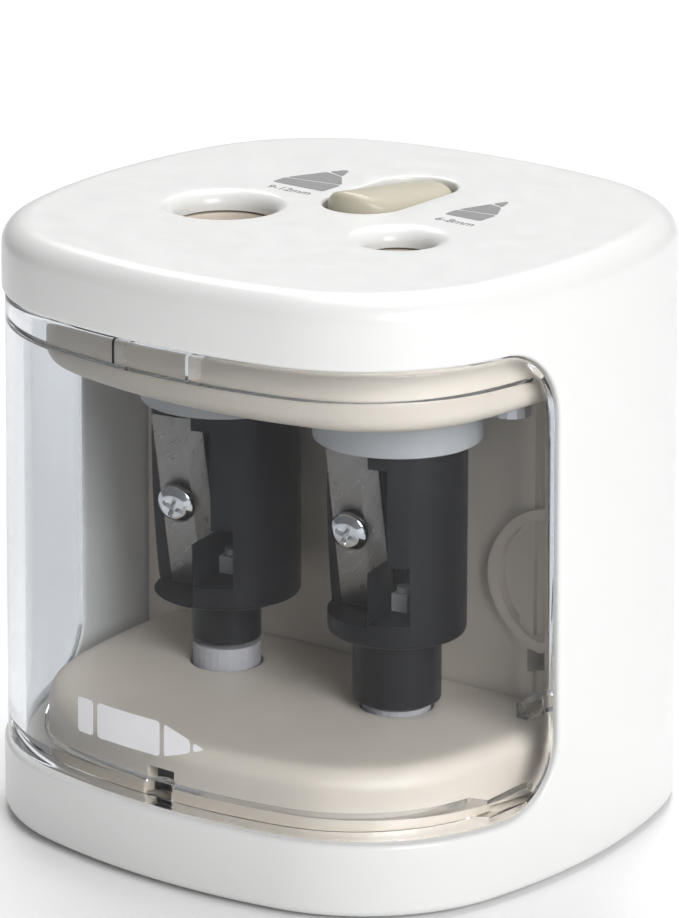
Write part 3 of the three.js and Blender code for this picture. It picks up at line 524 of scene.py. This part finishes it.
def sideFill(levels, low, holes):
    # unrolled side: the whole way round, from its low edge to its last level, over the door's notch
    whole = 2 * sum(planLengths(body))
    doorLow, doorHigh = boxOf("battery_door")
    notch = [-wayToY(body, doorHigh[1] + case["doorGap"]), -wayToY(body, doorLow[1] - case["doorGap"])]
    notchTop = case["doorTop"]
    ways = spread(-whole, whole, case["spacing"])
    rows = rowsOf(levels, case["spacing"])
    rows = rows[rows > low - 1e-6]
    apart = (ways > notch[0] + 0.4) & (ways < notch[1] - 0.4)
    before, after = ways[ways < notch[0] - 0.4], ways[ways > notch[1] + 0.4]
    step = np.array([[notch[0], low], [notch[0], notchTop]])
    bottom = np.vstack([np.column_stack([before, np.full(len(before), low)]), step,
                        np.column_stack([ways[apart], np.full(apart.sum(), notchTop)]),
                        np.array([[notch[1], notchTop], [notch[1], low]]),
                        np.column_stack([after, np.full(len(after), low)])])
    right = np.column_stack([np.full(len(rows) - 2, whole), rows[1:-1]])
    top = np.column_stack([ways[::-1], np.full(len(ways), rows[-1])])
    left = np.column_stack([np.full(len(rows) - 2, -whole), rows[1:-1][::-1]])
    outer = np.vstack([bottom, right, top, left])
    return fillFlat(outer, holes, meshGrid(ways, rows), 0.5), bottom, ways


def makeHousing():
    # outer skin, inner skin and the strips that join them round the window, the foot and the top's holes
    outside = levelsOf(case["foot"], case["top"], case["bottomRound"], case["topRound"], case["draft"])
    ceiling = case["top"] - case["wall"]
    inside = levelsOf(case["foot"], ceiling, 0, case["innerRound"], case["draft"])
    edge, wall = window["edge"], case["wall"]
    outerFill, outerFoot, ways = sideFill(outside, outside[0][0], [windowLoop(edge)])
    innerFill, innerFoot, ways = sideFill(inside, inside[0][0], [windowLoop(edge)])
    sheets = [skinSheet(body, outside, outerFill), skinSheet(body, inside, innerFill, wall)]
    turn = np.linspace(0, math.pi / 2, 7)
    offsets = np.concatenate([edge * (1 - np.sin(turn)), edge * (1 - np.cos(turn))])
    insets = np.concatenate([edge * (1 - np.cos(turn)), wall - edge * (1 - np.sin(turn))])
    loops = [windowLoop(offset) for offset in offsets]
    rim = [skinAt(body, outside, loop[:, 0], loop[:, 1], inset) for loop, inset in zip(loops, insets)]
    sheets.append((np.vstack(rim), gridFaces(len(rim), len(rim[0]), True)))
    lip = np.vstack([skinAt(body, outside, *outerFoot.T), skinAt(body, inside, *innerFoot.T, wall)])
    sheets.append((lip, gridFaces(2, len(outerFoot))))
    holes = [circleLoop(head["x"], head["y"], head["dish"]) for head in heads.values()]
    throats = [circleLoop(head["x"], head["y"], head["pencil"] + 0.1) for head in heads.values()]
    slotEdge = rocker["slotEdge"]
    slotAt = lambda grow: pillLoop(0, rocker["y"], rocker["halfWidth"] + rocker["sideGap"] + grow,
                                   rocker["halfLength"] + rocker["endGap"] + grow)
    for levels, inset, height, gaps in ((outside, 0.0, case["top"], [*holes, slotAt(slotEdge)]),
                                        (inside, wall, ceiling, [*throats, slotAt(0)])):
        outline = skinAt(body, levels, ways[:-1], levels[0][-1], inset)[:, :2]
        rings = [outline * (1 - grow / body["halfWidth"]) for grow in (0.5, 1.2)]
        reach = np.vstack([meshGrid(spread(-38, 38, 2.2), spread(-37, 37, 2.2)), *rings])
        flat, triangles = fillFlat(outline, gaps, reach, 0.42)
        sheets.append((atHeight(flat, height), triangles))
    for head in heads.values():
        sheets.append(lathe(dishProfile(head, ceiling), head["x"], head["y"], 72, closed=False))
    turn = np.linspace(0, math.pi / 2, 6)
    steps = [(slotEdge * (1 - math.sin(a)), case["top"] - slotEdge * (1 - math.cos(a))) for a in turn]
    slotRows = [atHeight(slotAt(grow), z) for grow, z in [*steps, (0, ceiling)]]
    sheets.append((np.vstack(slotRows), gridFaces(len(slotRows), len(slotRows[0]), True)))
    for x, y in bosses["screws"]:
        hole, radius = bosses["hole"], bosses["radius"]
        low, high = bosses["low"], bosses["high"]
        hollow = [(hole, low), (radius, low), (radius, high), (hole, high)]
        sheets.append(lathe(softCorners(hollow, 0.25, 3), x, y, 40))
    piece = makePiece("housing_shell", sheets)
    return finishPiece(piece, "casing", "white_shell", "housing")


def dishProfile(head, ceiling):
    # lip: r = throat + (dish - throat)(1 - cos a), z = top - depth + depth sin a, then straight down
    depth, throat = case["dishDepth"], head["pencil"] + 0.1
    turn = np.linspace(math.pi / 2, 0, 13)
    lip = np.column_stack([throat + (head["dish"] - throat) * (1 - np.cos(turn)),
                           case["top"] - depth + depth * np.sin(turn)])
    return np.vstack([lip, [[throat, ceiling]]])


makeHousing()


# Clear bin

tray = {"inset": 0.4, "gap": 0.3, "wall": 2.2, "rimWall": 3.2, "rimLow": 62.8, "floor": 2.1, "edge": 0.45,
        "slits": 5.5, "slitWidth": 0.4, "slitDepth": 3.1, "ledgeBack": -16, "ledgeSide": 33,
        "tongueX": (33.4, 35), "tongueY": -8, "rootX": (33.4, 36.3), "rootY": (-10.5, -7.6),
        "seatY": -35, "seatRadius": 2.2}


def makeBin():
    # front sheet whose inner face steps in by a smooth ramp at the rim, joined to a floor ledge
    levels = levelsOf(case["foot"], case["top"], 0, 0, case["draft"])
    low, high = window["low"] + tray["gap"], window["high"] - tray["gap"]
    edge, spacing = tray["edge"], 1.4
    half, corner = windowHalf - tray["gap"], window["corner"] - tray["gap"]
    loopAt = lambda offset: roundedLoop(half, low, high, corner, spacing, offset)
    rows = np.concatenate([spread(low, tray["rimLow"] - 0.8, spacing),
                           spread(tray["rimLow"] - 0.7, tray["rimLow"] + 0.1, 0.1),
                           spread(tray["rimLow"] + 0.5, high, 1)])
    columns = spread(-half, half, spacing)
    fill = fillFlat(loopAt(-edge), [], meshGrid(columns, rows), 0.3)
    ramp = lambda z: np.clip((z - tray["rimLow"] + 0.6) / 0.6, 0, 1)
    step = tray["rimWall"] - tray["wall"]
    depthAt = lambda z: tray["inset"] + tray["wall"] + step * ramp(z) ** 2 * (3 - 2 * ramp(z))
    front = skinAt(body, levels, *fill[0].T, tray["inset"])
    back = skinAt(body, levels, *fill[0].T, depthAt(fill[0][:, 1]))
    turn = np.linspace(0, math.pi / 2, 6)
    shares = [(-edge * (1 - math.sin(a)), edge * (1 - math.cos(a)), 0) for a in turn]
    shares += [(-edge * (1 - math.cos(a)), -edge * (1 - math.sin(a)), 1) for a in turn]
    rim = []
    for offset, depth, inner in shares:
        loop = loopAt(offset)
        inset = tray["inset"] + depth if not inner else depthAt(loop[:, 1]) + depth
        rim.append(skinAt(body, levels, *loop.T, inset))
    piece = makePiece("clear_bin", [(front, fill[1]), (back, fill[1]),
                                    (np.vstack(rim), gridFaces(len(rim), len(rim[0]), True))])
    carve(piece, makeLedge(levels, low), "UNION")
    seatTop = low + tray["floor"] + 0.5
    r = tray["seatRadius"]
    seat = softCorners([(0, low + 1), (r, low + 1), (r - 0.2, seatTop), (0, seatTop)], 0.25, 3, closed=False)
    carve(piece, makePiece("seat", [lathe(seat, 0, tray["seatY"], 40, closed=False)]), "UNION")
    slotLow, slotHigh = boxOf("interlock_plunger")
    root = block(*tray["rootX"], *tray["rootY"], slotLow[2], slotHigh[2])
    carve(piece, softenEdges(root, 0.2), "UNION")
    tip = slotLow[1] - 0.4
    tongue = block(*tray["tongueX"], tray["tongueY"], tip, slotLow[2] + 0.01, slotHigh[2] - 0.01)
    carve(piece, softenEdges(tongue, 0.2), "UNION")
    for x in (-tray["slits"], tray["slits"]):
        halfSlit = tray["slitWidth"] / 2
        carve(piece, block(x - halfSlit, x + halfSlit, -40, -30, high - tray["slitDepth"], high + 2))
    finishShading(piece, 30)
    return finishPiece(piece, "bin", "smoke_clear", "shavings_bin")


def makeLedge(levels, low):
    # floor strip from inside the front sheet to the cover's outline, level above and following the
    # sheet's own edge below
    reach = wayToY(body, tray["ledgeBack"])
    half = windowHalf - 0.6
    s = np.concatenate([spread(-half, -reach - 0.2, 1.2), spread(-reach, reach, 1.2),
                        spread(reach + 0.2, half, 1.2)])
    outer = skinAt(body, levels, s, low + 0.5, tray["inset"] + 1.2)[:, :2]
    share = np.clip(s / reach, -1, 1)
    inner = np.column_stack(planAt(cover, share * wayToY(cover, tray["ledgeBack"]), -0.5))
    beyond = np.abs(s) > reach + 0.1
    inner[beyond] = np.column_stack([np.sign(s[beyond]) * tray["ledgeSide"], outer[beyond, 1]])
    top = low + tray["floor"]
    section = [(0, low + 0.02), (0, top), (0.96, top), (1, top - 0.15), (1, low + 0.17), (0.96, low + 0.02)]
    rows = [atHeight(outer + (inner - outer) * share, z) for share, z in section]
    count = len(s)
    points = np.stack(rows).reshape(-1, 3)
    caps = [(points, [list(range(end, len(section) * count, count))]) for end in (0, count - 1)]
    return makePiece("ledge", [(points, gridFaces(len(section), count, False, True)), *caps])


makeBin()


# Platform over the gears, and the shelf over the heads

platform = {"low": 9.7, "top": 16.8, "wall": 1.6, "edge": 2.4, "hub": 4.6,
            "notch": (-3.6, 0.4), "notchTop": 13.2}
shelf = {"low": 57.6, "top": 70.9, "wall": 1.7, "edge": 2.2, "tubeTop": 72.5, "tubeWall": 1.4}
cutY = boxOf("gear_cover")[1][1]


def openShell(name, plan, levels, height, radii, notch=None):
    # front part of a plan up to its straight rear cut: the side laid on the skin and the flat with its holes
    reach = wayToY(plan, cutY)
    ways, rows = spread(-reach, reach, 1.2), rowsOf(levels, 1.2)
    flatRow, openRow = (rows[-1], rows[0]) if abs(levels[1][-1] - height) < 1e-6 else (rows[0], rows[-1])
    side = meshGrid(ways, rows)
    outline = np.column_stack([np.concatenate([ways, np.full(len(rows) - 2, reach), ways[::-1],
                                               np.full(len(rows) - 2, -reach)]),
                               np.concatenate([np.full(len(ways), rows[0]), rows[1:-1],
                                               np.full(len(ways), rows[-1]), rows[1:-1][::-1]])])
    if notch:
        low = openRow
        steps = np.array([[notch[0], low], [notch[0], notch[2]], [notch[1], notch[2]], [notch[1], low]])
        besideNotch = (outline[:, 0] < notch[0] - 0.2) | (outline[:, 0] > notch[1] + 0.2)
        keep = (outline[:, 1] > low + 1e-6) | besideNotch
        at = int(np.argmax(outline[:, 0] > notch[0]))
        outline = np.vstack([outline[:at][keep[:at]], steps, outline[at:][keep[at:]]])
    fill = fillFlat(outline, [], side, 0.4)
    sheets = [skinSheet(plan, levels, fill)]
    edge = skinAt(plan, levels, ways, flatRow)[:, :2]
    gaps = [circleLoop(head["x"], head["y"], radii[side]) for side, head in heads.items()]
    chord = np.linspace(edge[-1], edge[0], 50)[1:-1]
    reachGrid = meshGrid(spread(-32, 32, 1.6), spread(-32, 6, 1.6))
    flat, triangles = fillFlat(np.vstack([edge, chord]), gaps, reachGrid, 0.5)
    sheets.append((atHeight(flat, height), triangles))
    return makePiece(name, sheets)


def thicken(piece, wall):
    # an even wall behind an open surface
    solid = piece.modifiers.new("wall", "SOLIDIFY")
    solid.thickness = wall * mm
    solid.offset = -1
    solid.use_even_offset = True
    return applyModifiers(piece)


def faceOut(piece, middle):
    # an open surface is turned so that its faces point away from a middle point
    work = bmesh.new()
    work.from_mesh(piece.data)
    total = sum(((face.calc_center_median() - Vector(middle) * mm).dot(face.normal) * face.calc_area())
                for face in work.faces)
    if total < 0:
        bmesh.ops.reverse_faces(work, faces=work.faces)
    work.to_mesh(piece.data)
    work.free()
    return piece


def makePlatform():
    # cover over the gear train, with the hubs' holes and a notch in its front foot
    levels = levelsOf(platform["low"], platform["top"], 0, platform["edge"])
    notch = (*platform["notch"], platform["notchTop"])
    radii = {side: platform["hub"] for side in heads}
    piece = openShell("gear_platform", cover, levels, platform["top"], radii, notch)
    thicken(faceOut(piece, (0, -10, 5)), platform["wall"])
    softenEdges(piece, 0.22, 2)
    return finishPiece(piece, "casing", "inner_plastic", "gear_cover")


def makeShelf():
    # open box under the top with a guide tube for each pencil
    levels = levelsOf(shelf["low"], shelf["top"], shelf["edge"], 0)
    radii = {side: head["pencil"] + 0.6 for side, head in heads.items()}
    piece = openShell("guide_shelf", bracket, levels, shelf["low"], radii)
    thicken(faceOut(piece, (0, -10, 75)), shelf["wall"])
    softenEdges(piece, 0.22, 2)
    for head in heads.values():
        bore = head["pencil"] + 0.1
        outer = bore + shelf["tubeWall"]
        ring = softCorners([(bore, shelf["low"]), (outer, shelf["low"] + 0.02), (outer, shelf["tubeTop"]),
                            (bore, shelf["tubeTop"])], 0.3, 4)
        tube = makePiece("tube", [lathe(ring, head["x"], head["y"], 96)])
        carve(piece, tube, "UNION")
    finishShading(piece, 32)
    return finishPiece(piece, "casing", "inner_plastic", "guide_bracket")


makePlatform()
makeShelf()


# Cutter heads

cutter = {"slope": 0.2056, "turn": 10.4, "seatEdge": 0.2, "edge": 0.16,
          "collarLow": 51.1, "collarRadius": 10.3}
blade = {"width": 6.5, "thick": 0.8, "screwFromEdge": 4.0, "bevel": 2.2, "gap": 0.3, "headRadius": 2.5}


def onHead(piece, head):
    # a piece made about the head's own axis is turned to its place
    return moveMesh(piece, Matrix.Translation(Vector((head["x"], head["y"], 0)) * mm)
                    @ Matrix.Rotation(math.radians(cutter["turn"]), 4, "Z"))


def onSeat(piece, head, z):
    # leans by atan(slope) about X and moves out to the cutting line at height z
    out = head["tip"] + cutter["slope"] * (z - head["tipZ"])
    return moveMesh(piece, Matrix.Translation(Vector((0, -out, z)) * mm)
                    @ Matrix.Rotation(math.atan(cutter["slope"]), 4, "X"))


def makeCutterBody(side, head):
    # turned body less the blade's seat, the chip window and the conical bore, plus its stem
    r, low, top = head["radius"], head["bottom"], head["top"]
    shell = softCorners([(0, low), (r, low), (r, top), (0, top)], 0.8, 5, closed=False)
    piece = makePiece(side + "_cutter_head", [lathe(shell, closed=False)])
    seatTop = cutter["collarLow"] - 0.4 - head["tipZ"]
    seat = onSeat(block(-12, cutter["seatEdge"], -20, 0, -8, seatTop + 8), head, head["tipZ"])
    limit = block(-13, 13, -21, 12, head["bladeBottom"] - 0.4, cutter["collarLow"] - 0.2)
    carve(piece, carve(seat, limit, "INTERSECT"))
    carve(piece, block(0, 2.6, -20, 0, head["tipZ"] + 8, cutter["collarLow"] - 2))
    windowLow = max(low + 3, head["stemTop"] + 0.6)
    carve(piece, block(0.3, 5, -20, 20, windowLow, low + 10.4))
    stem = softCorners([(0, head["stemBottom"]), (head["stemRadius"], head["stemBottom"]),
                        (head["stemRadius"], head["stemTop"]), (0, head["stemTop"])], 0.35, 4, closed=False)
    carve(piece, makePiece("stem", [lathe(stem, closed=False)]), "UNION")
    entry = (head["pencil"] - head["tip"]) / cutter["slope"] + head["tipZ"]
    bore = [(0, head["tipZ"]), (head["tip"], head["tipZ"]), (head["pencil"], entry),
            (head["pencil"], top + 1), (0, top + 1)]
    carve(piece, makePiece("bore", [lathe(bore, closed=False)]))
    socket = circleLoop(0, 0, head["hex"] + 0.3, 6)
    carve(piece, makePiece("socket", prism(socket, head["stemBottom"] - 1, head["stemBottom"] + 5.7)))
    softenEdges(piece, cutter["edge"], 2, 40)
    return finishPiece(onHead(piece, head), side + "_head", "black_plastic", side + "_cutter_body")


def makeBlade(side, head):
    # plate with a ground bevel beside its edge and a screw hole
    face = -blade["gap"]
    back = face - blade["thick"]
    half = head["bladeLength"] / 2
    width = blade["width"]
    section = [(0, face), (-width, face), (-width, back), (-blade["bevel"], back), (0, face - 0.12)]
    piece = makePiece(side + "_steel_blade", prism(section, -half, half), angle=12)
    hole = makePiece("hole", [lathe([(0, -5), (1.6, -5), (1.6, 5), (0, 5)], 0, 0, 48, closed=False)])
    moveMesh(hole, Matrix.Translation(Vector((-blade["screwFromEdge"], 0, 0)) * mm)
             @ Matrix.Rotation(math.pi / 2, 4, "X"))
    carve(piece, hole)
    softenEdges(piece, 0.07, 2, 12)
    onSeat(piece, head, head["bladeBottom"] + half)
    return finishPiece(onHead(piece, head), side + "_head", "blade_steel", side + "_blade")


def makeScrew(side, head):
    # domed head with a cross recess, on a plain shank
    under = -(blade["gap"] + blade["thick"] + 0.3)
    r = blade["headRadius"]
    profile = [(0, 2.4), (0.8, 2.4), (0.8, under), (r, under), (r, under - 0.7),
               (r - 0.9, under - 1.45), (0, under - 1.6)]
    rounded = softCorners(profile, 0.28, 5, closed=False)
    piece = makePiece(side + "_cross_screw", [lathe(rounded, 0, 0, 64, closed=False)])
    for turned in (22, 112):
        slot = softenEdges(block(-1.45, 1.45, -0.32, 0.32, -0.9, 0.9), 0.12, 2)
        moveMesh(slot, Matrix.Translation(Vector((0, 0, under - 1.6)) * mm)
                 @ Matrix.Rotation(math.radians(turned), 4, "Z"))
        carve(piece, slot)
    finishShading(piece, 30)
    moveMesh(piece, Matrix.Translation(Vector((-blade["screwFromEdge"], 0, 0)) * mm)
             @ Matrix.Rotation(-math.pi / 2, 4, "X"))
    onSeat(piece, head, head["bladeBottom"] + head["bladeLength"] / 2)
    return finishPiece(onHead(piece, head), side + "_head", "chrome", side + "_blade_screw")


def makeCollar(side, head):
    # grey bush round the head's top, closed above but for the pencil's hole
    inner, hole, top = head["radius"] + 0.3, head["pencil"] + 0.1, shelf["low"] - 0.3
    low, outer = cutter["collarLow"], cutter["collarRadius"]
    ring = [(inner, low), (outer, low), (outer, top), (hole, top), (hole, top - 0.8), (inner, top - 0.8)]
    piece = makePiece(side + "_bush", [lathe(softCorners(ring, 0.28, 4), head["x"], head["y"], 96)])
    return finishPiece(piece, "casing", "grey_plastic", side + "_collar")


def makeRing(side, head):
    # thin thrust ring over the head
    low, high = (corner[2] for corner in boxOf(side + "_thrust_ring"))
    ring = [(head["pencil"] + 0.3, low), (head["radius"] - 0.1, low), (head["radius"] - 0.1, high),
            (head["pencil"] + 0.3, high)]
    piece = makePiece(side + "_ring", [lathe(softCorners(ring, 0.18, 3), head["x"], head["y"], 96)])
    return finishPiece(piece, side + "_press", "acetal", side + "_thrust_ring")


def makeHeadSpring(side, head):
    # wound wire in the head's socket, drawn as short as it is with the head pressed
    low, high = boxOf(side + "_head_spring")
    wire = coil(head["x"], head["y"], low[2], high[2] - 0.25, 1.35, 1.35, 0.24, 5)
    piece = makePiece(side + "_wound_spring", wire, 0.0005)
    return finishPiece(piece, side + "_drive", "steel", side + "_head_spring")


for side, head in heads.items():
    makeCutterBody(side, head)
    makeBlade(side, head)
    makeScrew(side, head)
    makeCollar(side, head)
    makeRing(side, head)
    makeHeadSpring(side, head)

for name in ("cell_spring_1", "cell_spring_2"):
    low, high = boxOf(name)
    middle = (low + high) / 2
    wire = coil(middle[0], middle[1], low[2], high[2], 3.1, 3.5, 0.35, 4.5)
    piece = makePiece(name + "_wound", wire, 0.0005)
    finishPiece(piece, "casing", "steel", name)


# Rocker

def makeRocker():
    # pill rings about a middle line: radius from the line sets the height by the crown's parabola across
    # X and a quarter circle at the rim
    halfWidth, reach = rocker["halfWidth"], rocker["halfLength"] - rocker["halfWidth"]
    edge, crown = rocker["edge"], rocker["crown"]
    turn = np.linspace(0, math.pi / 2, 8)
    radii = np.concatenate([spread(0.0, halfWidth - edge, 0.5), halfWidth - edge * (1 - np.sin(turn[1:]))])
    drops = np.concatenate([np.zeros(len(radii) - 7), edge * (1 - np.cos(turn[1:]))])
    loops = [pillLoop(0, 0, max(radius, 1e-4), reach + max(radius, 1e-4), 30) for radius in radii]
    rings = [np.column_stack([loop, crown - rocker["crownDrop"] * (loop[:, 0] / halfWidth) ** 2 - drop])
             for loop, drop in zip(loops, drops)]
    rings += [atHeight(loops[-1], rocker["low"] + 0.3), atHeight(loops[-2], rocker["low"]),
              atHeight(loops[0], rocker["low"])]
    piece = makePiece("rocker_cap", [(np.vstack(rings), gridFaces(len(rings), len(rings[0]), True))])
    stem = softenEdges(block(-2.6, 2.6, -1.9, 1.9, rocker["pivot"] - 2, 74), 0.3)
    carve(piece, stem, "UNION")
    bore = makePiece("bore", [lathe([(0, -8), (1, -8), (1, 8), (0, 8)], 0, 0, 32, closed=False)])
    pivot = Vector((0, 0, rocker["pivot"])) * mm
    moveMesh(bore, Matrix.Translation(pivot) @ Matrix.Rotation(math.pi / 2, 4, "Y"))
    carve(piece, bore)
    moveMesh(piece, Matrix.Translation(pivot + Vector((0, rocker["y"], 0)) * mm)
             @ Matrix.Rotation(-math.radians(rocker["tilt"]), 4, "X") @ Matrix.Translation(-pivot))
    finishShading(piece, 32)
    return finishPiece(piece, "rocker", "cream_plastic", "rocker_switch")


makeRocker()


# Prints: size marks on the top and a plain pencil on the bin

marks = {
    "thick": {"x": -11.5, "low": 6.4, "length": 10.0, "width": 8.0,
              "text": "9-12mm", "textX": -7.8, "textY": 3.7},
    "thin": {"x": 13.6, "low": 6.3, "length": 9.2, "width": 5.4,
             "text": "6-8mm", "textX": 17.0, "textY": 3.4},
}
ink = {"thick": 0.03, "lift": 0.006, "textSize": 2.0}


def pencilTip(width, low, length):
    # pencil end pointing +Y in three parts with thin slanted gaps: barrel, shaved cone and lead
    half, gap = width / 2, 0.35
    barrel, cone = low + 0.30 * length, low + 0.74 * length
    slope = lambda x: 0.12 * x
    tipAt = lambda share: half * (1 - share)
    parts = [[(-half, low), (half, low - 0.2), (half, barrel + slope(half)), (-half, barrel + slope(-half))],
             [(-half * 0.97, barrel + gap + slope(-half)), (half * 0.97, barrel + gap + slope(half)),
              (tipAt(0.62), cone - slope(half)), (-tipAt(0.62), cone + slope(half))],
             [(-tipAt(0.66), cone + gap + slope(half)), (tipAt(0.66), cone + gap - slope(half)),
              (half * 0.08, low + length), (-half * 0.08, low + length)]]
    return [softCorners(part, 0.45, 4) for part in parts]


def makeTopMark(name, mark):
    # thin raised ink on the top
    low = case["top"] + ink["lift"]
    sheets = []
    for part in pencilTip(mark["width"], mark["low"], mark["length"]):
        sheets += prism(part + [mark["x"], 0], low, low + ink["thick"])
    return finishPiece(makePiece(name + "_size_mark", sheets, 0.001), "casing", None, material="print_grey")


def makeTopText(name, mark):
    # size numbers as thin raised ink, ending at textX
    curve = bpy.data.curves.new(name, "FONT")
    curve.body = mark["text"]
    curve.size = ink["textSize"] * mm
    curve.align_x = "RIGHT"
    curve.extrude = ink["thick"] / 2 * mm
    words = bpy.data.objects.new(name + "_words", curve)
    bpy.context.scene.collection.objects.link(words)
    mesh = bpy.data.meshes.new_from_object(words.evaluated_get(bpy.context.evaluated_depsgraph_get()))
    bpy.data.objects.remove(words)
    piece = bpy.data.objects.new(name + "_size_text", mesh)
    bpy.context.scene.collection.objects.link(piece)
    height = case["top"] + ink["lift"] + ink["thick"] / 2
    moveMesh(piece, Matrix.Translation(Vector((mark["textX"], mark["textY"], height)) * mm))
    return finishPiece(piece, "casing", None, material="print_grey")


for name, mark in marks.items():
    makeTopMark(name, mark)
    makeTopText(name, mark)

badge = {"s": -2.0, "z": 18.8, "length": 20.0, "height": 4.4}


def makeBadge():
    # plain white pencil lying on the bin's front, filled in (s, height) and laid on the skin
    half, reach = badge["height"] / 2, badge["length"] / 2
    levels = levelsOf(case["foot"], case["top"], 0, 0, case["draft"])
    parts = [[(-reach, -half), (-reach + 2.6, -half), (-reach + 2.6, half), (-reach, half)],
             [(-reach + 3.4, -half), (reach - 6.6, -half), (reach - 6.6, half), (-reach + 3.4, half)],
             [(reach - 5.9, -half * 0.93), (reach - 2.1, -half * 0.36), (reach - 2.1, half * 0.36),
              (reach - 5.9, half * 0.93)],
             [(reach - 1.6, -half * 0.28), (reach, 0), (reach - 1.6, half * 0.28)]]
    proud = tray["inset"] - 0.01 - np.array([ink["thick"] + 0.03, 0])
    sheets = []
    for part in parts:
        loop = softCorners(part, 0.5, 5)
        halfway = (loop + np.roll(loop, -1, axis=0)) / 2
        loop = np.stack([loop, halfway], 1).reshape(-1, 2) + [badge["s"], badge["z"]]
        fill = fillFlat(loop, [], meshGrid(spread(-14, 12, 0.8), spread(12, 26, 0.8)), 0.25)
        sheets += [(skinAt(body, levels, *fill[0].T, inset), fill[1]) for inset in proud]
        rim = np.vstack([skinAt(body, levels, *loop.T, inset) for inset in proud])
        sheets.append((rim, gridFaces(2, len(loop), True)))
    return finishPiece(makePiece("bin_badge", sheets, 0.0005), "bin", None, material="print_white")


makeBadge()


# CAD nodes that stay take the finish of their slot

slotOf = {part["node"]: part["material_slot"] for part in frame["record"]["subparts"]}
for name, node in frame["nodes"].items():
    node.data.materials.clear()
    node.data.materials.append(materials[slotOf[name]])
print("CAD nodes finished")


# Floor, light and camera

studio = {"floor": (0.93, 0.93, 0.93), "sky": (1.0, 1.0, 1.0), "skyStrength": 0.22,
          "lights": {"key": ((0.62, -0.28, 0.34), 0.36, 3.8, (0, 0, 0.04)),
                     "top": ((0.02, 0.12, 0.80), 0.50, 3.0, (0, 0, 0.04)),
                     "rear": ((-0.45, 0.55, 0.75), 0.60, 6.0, (-0.40, 0.42, 0))}}
view = {"azimuth": 37.373, "elevation": 17.462, "distance": 0.560, "lens": 179.97,
        "target": (0.00098, -0.00151, 0.04442)}


def makeFloor():
    # floor that turns up into a wall: flat to y = run, then a quarter circle of the sweep's radius
    run, sweep, height, halfWide = 1.6, 0.8, 3.0, 4.0
    turn = np.linspace(0, math.pi / 2, 25)
    y = np.concatenate([[-4.0], run + sweep * np.sin(turn), [run + sweep]])
    z = np.concatenate([[0], sweep * (1 - np.cos(turn)), [height]])
    x = np.array([-halfWide, halfWide])
    points = np.stack([np.broadcast_to(x, (len(y), 2)), np.repeat(y[:, None], 2, 1),
                       np.repeat(z[:, None], 2, 1)], -1)
    mesh = bpy.data.meshes.new("floor")
    mesh.from_pydata(points.reshape(-1, 3).tolist(), [], gridFaces(len(y), 2).tolist())
    mesh.shade_smooth()
    floor = bpy.data.objects.new("floor", mesh)
    bpy.context.scene.collection.objects.link(floor)
    paper = {"color": studio["floor"], "roughness": 0.6, "drift": 0.01, "grain": 0.01}
    mesh.materials.append(makeFinish("floor_paper", paper))


def aimAt(thing, target):
    # turns a lamp or camera so that its -Z looks at the target
    way = Vector(target) - thing.location
    thing.rotation_euler = way.to_track_quat("-Z", "Y").to_euler()


def makeLights():
    # square softboxes, each with its place, side, power and aim
    for name, (at, size, power, aim) in studio["lights"].items():
        lamp = bpy.data.lights.new(name, "AREA")
        lamp.size = size
        lamp.energy = power
        holder = bpy.data.objects.new(name, lamp)
        holder.location = at
        bpy.context.scene.collection.objects.link(holder)
        aimAt(holder, aim)
    world = bpy.data.worlds.new("studio")
    world.use_nodes = True
    world.node_tree.nodes["Background"].inputs["Color"].default_value = (*studio["sky"], 1)
    world.node_tree.nodes["Background"].inputs["Strength"].default_value = studio["skyStrength"]
    bpy.context.scene.world = world


def makeCamera():
    # back from the target by the distance, along (sin a cos e, -cos a cos e, sin e)
    a, e = math.radians(view["azimuth"]), math.radians(view["elevation"])
    back = Vector((math.sin(a) * math.cos(e), -math.cos(a) * math.cos(e), math.sin(e)))
    lens = bpy.data.cameras.new("view")
    lens.lens = view["lens"]
    lens.clip_start, lens.clip_end = 0.01, 20
    camera = bpy.data.objects.new("view", lens)
    camera.location = Vector(view["target"]) + back * view["distance"]
    bpy.context.scene.collection.objects.link(camera)
    aimAt(camera, view["target"])
    bpy.context.scene.camera = camera


makeFloor()
makeLights()
makeCamera()
bpy.context.scene.view_settings.view_transform = "Standard"
print("stage set")
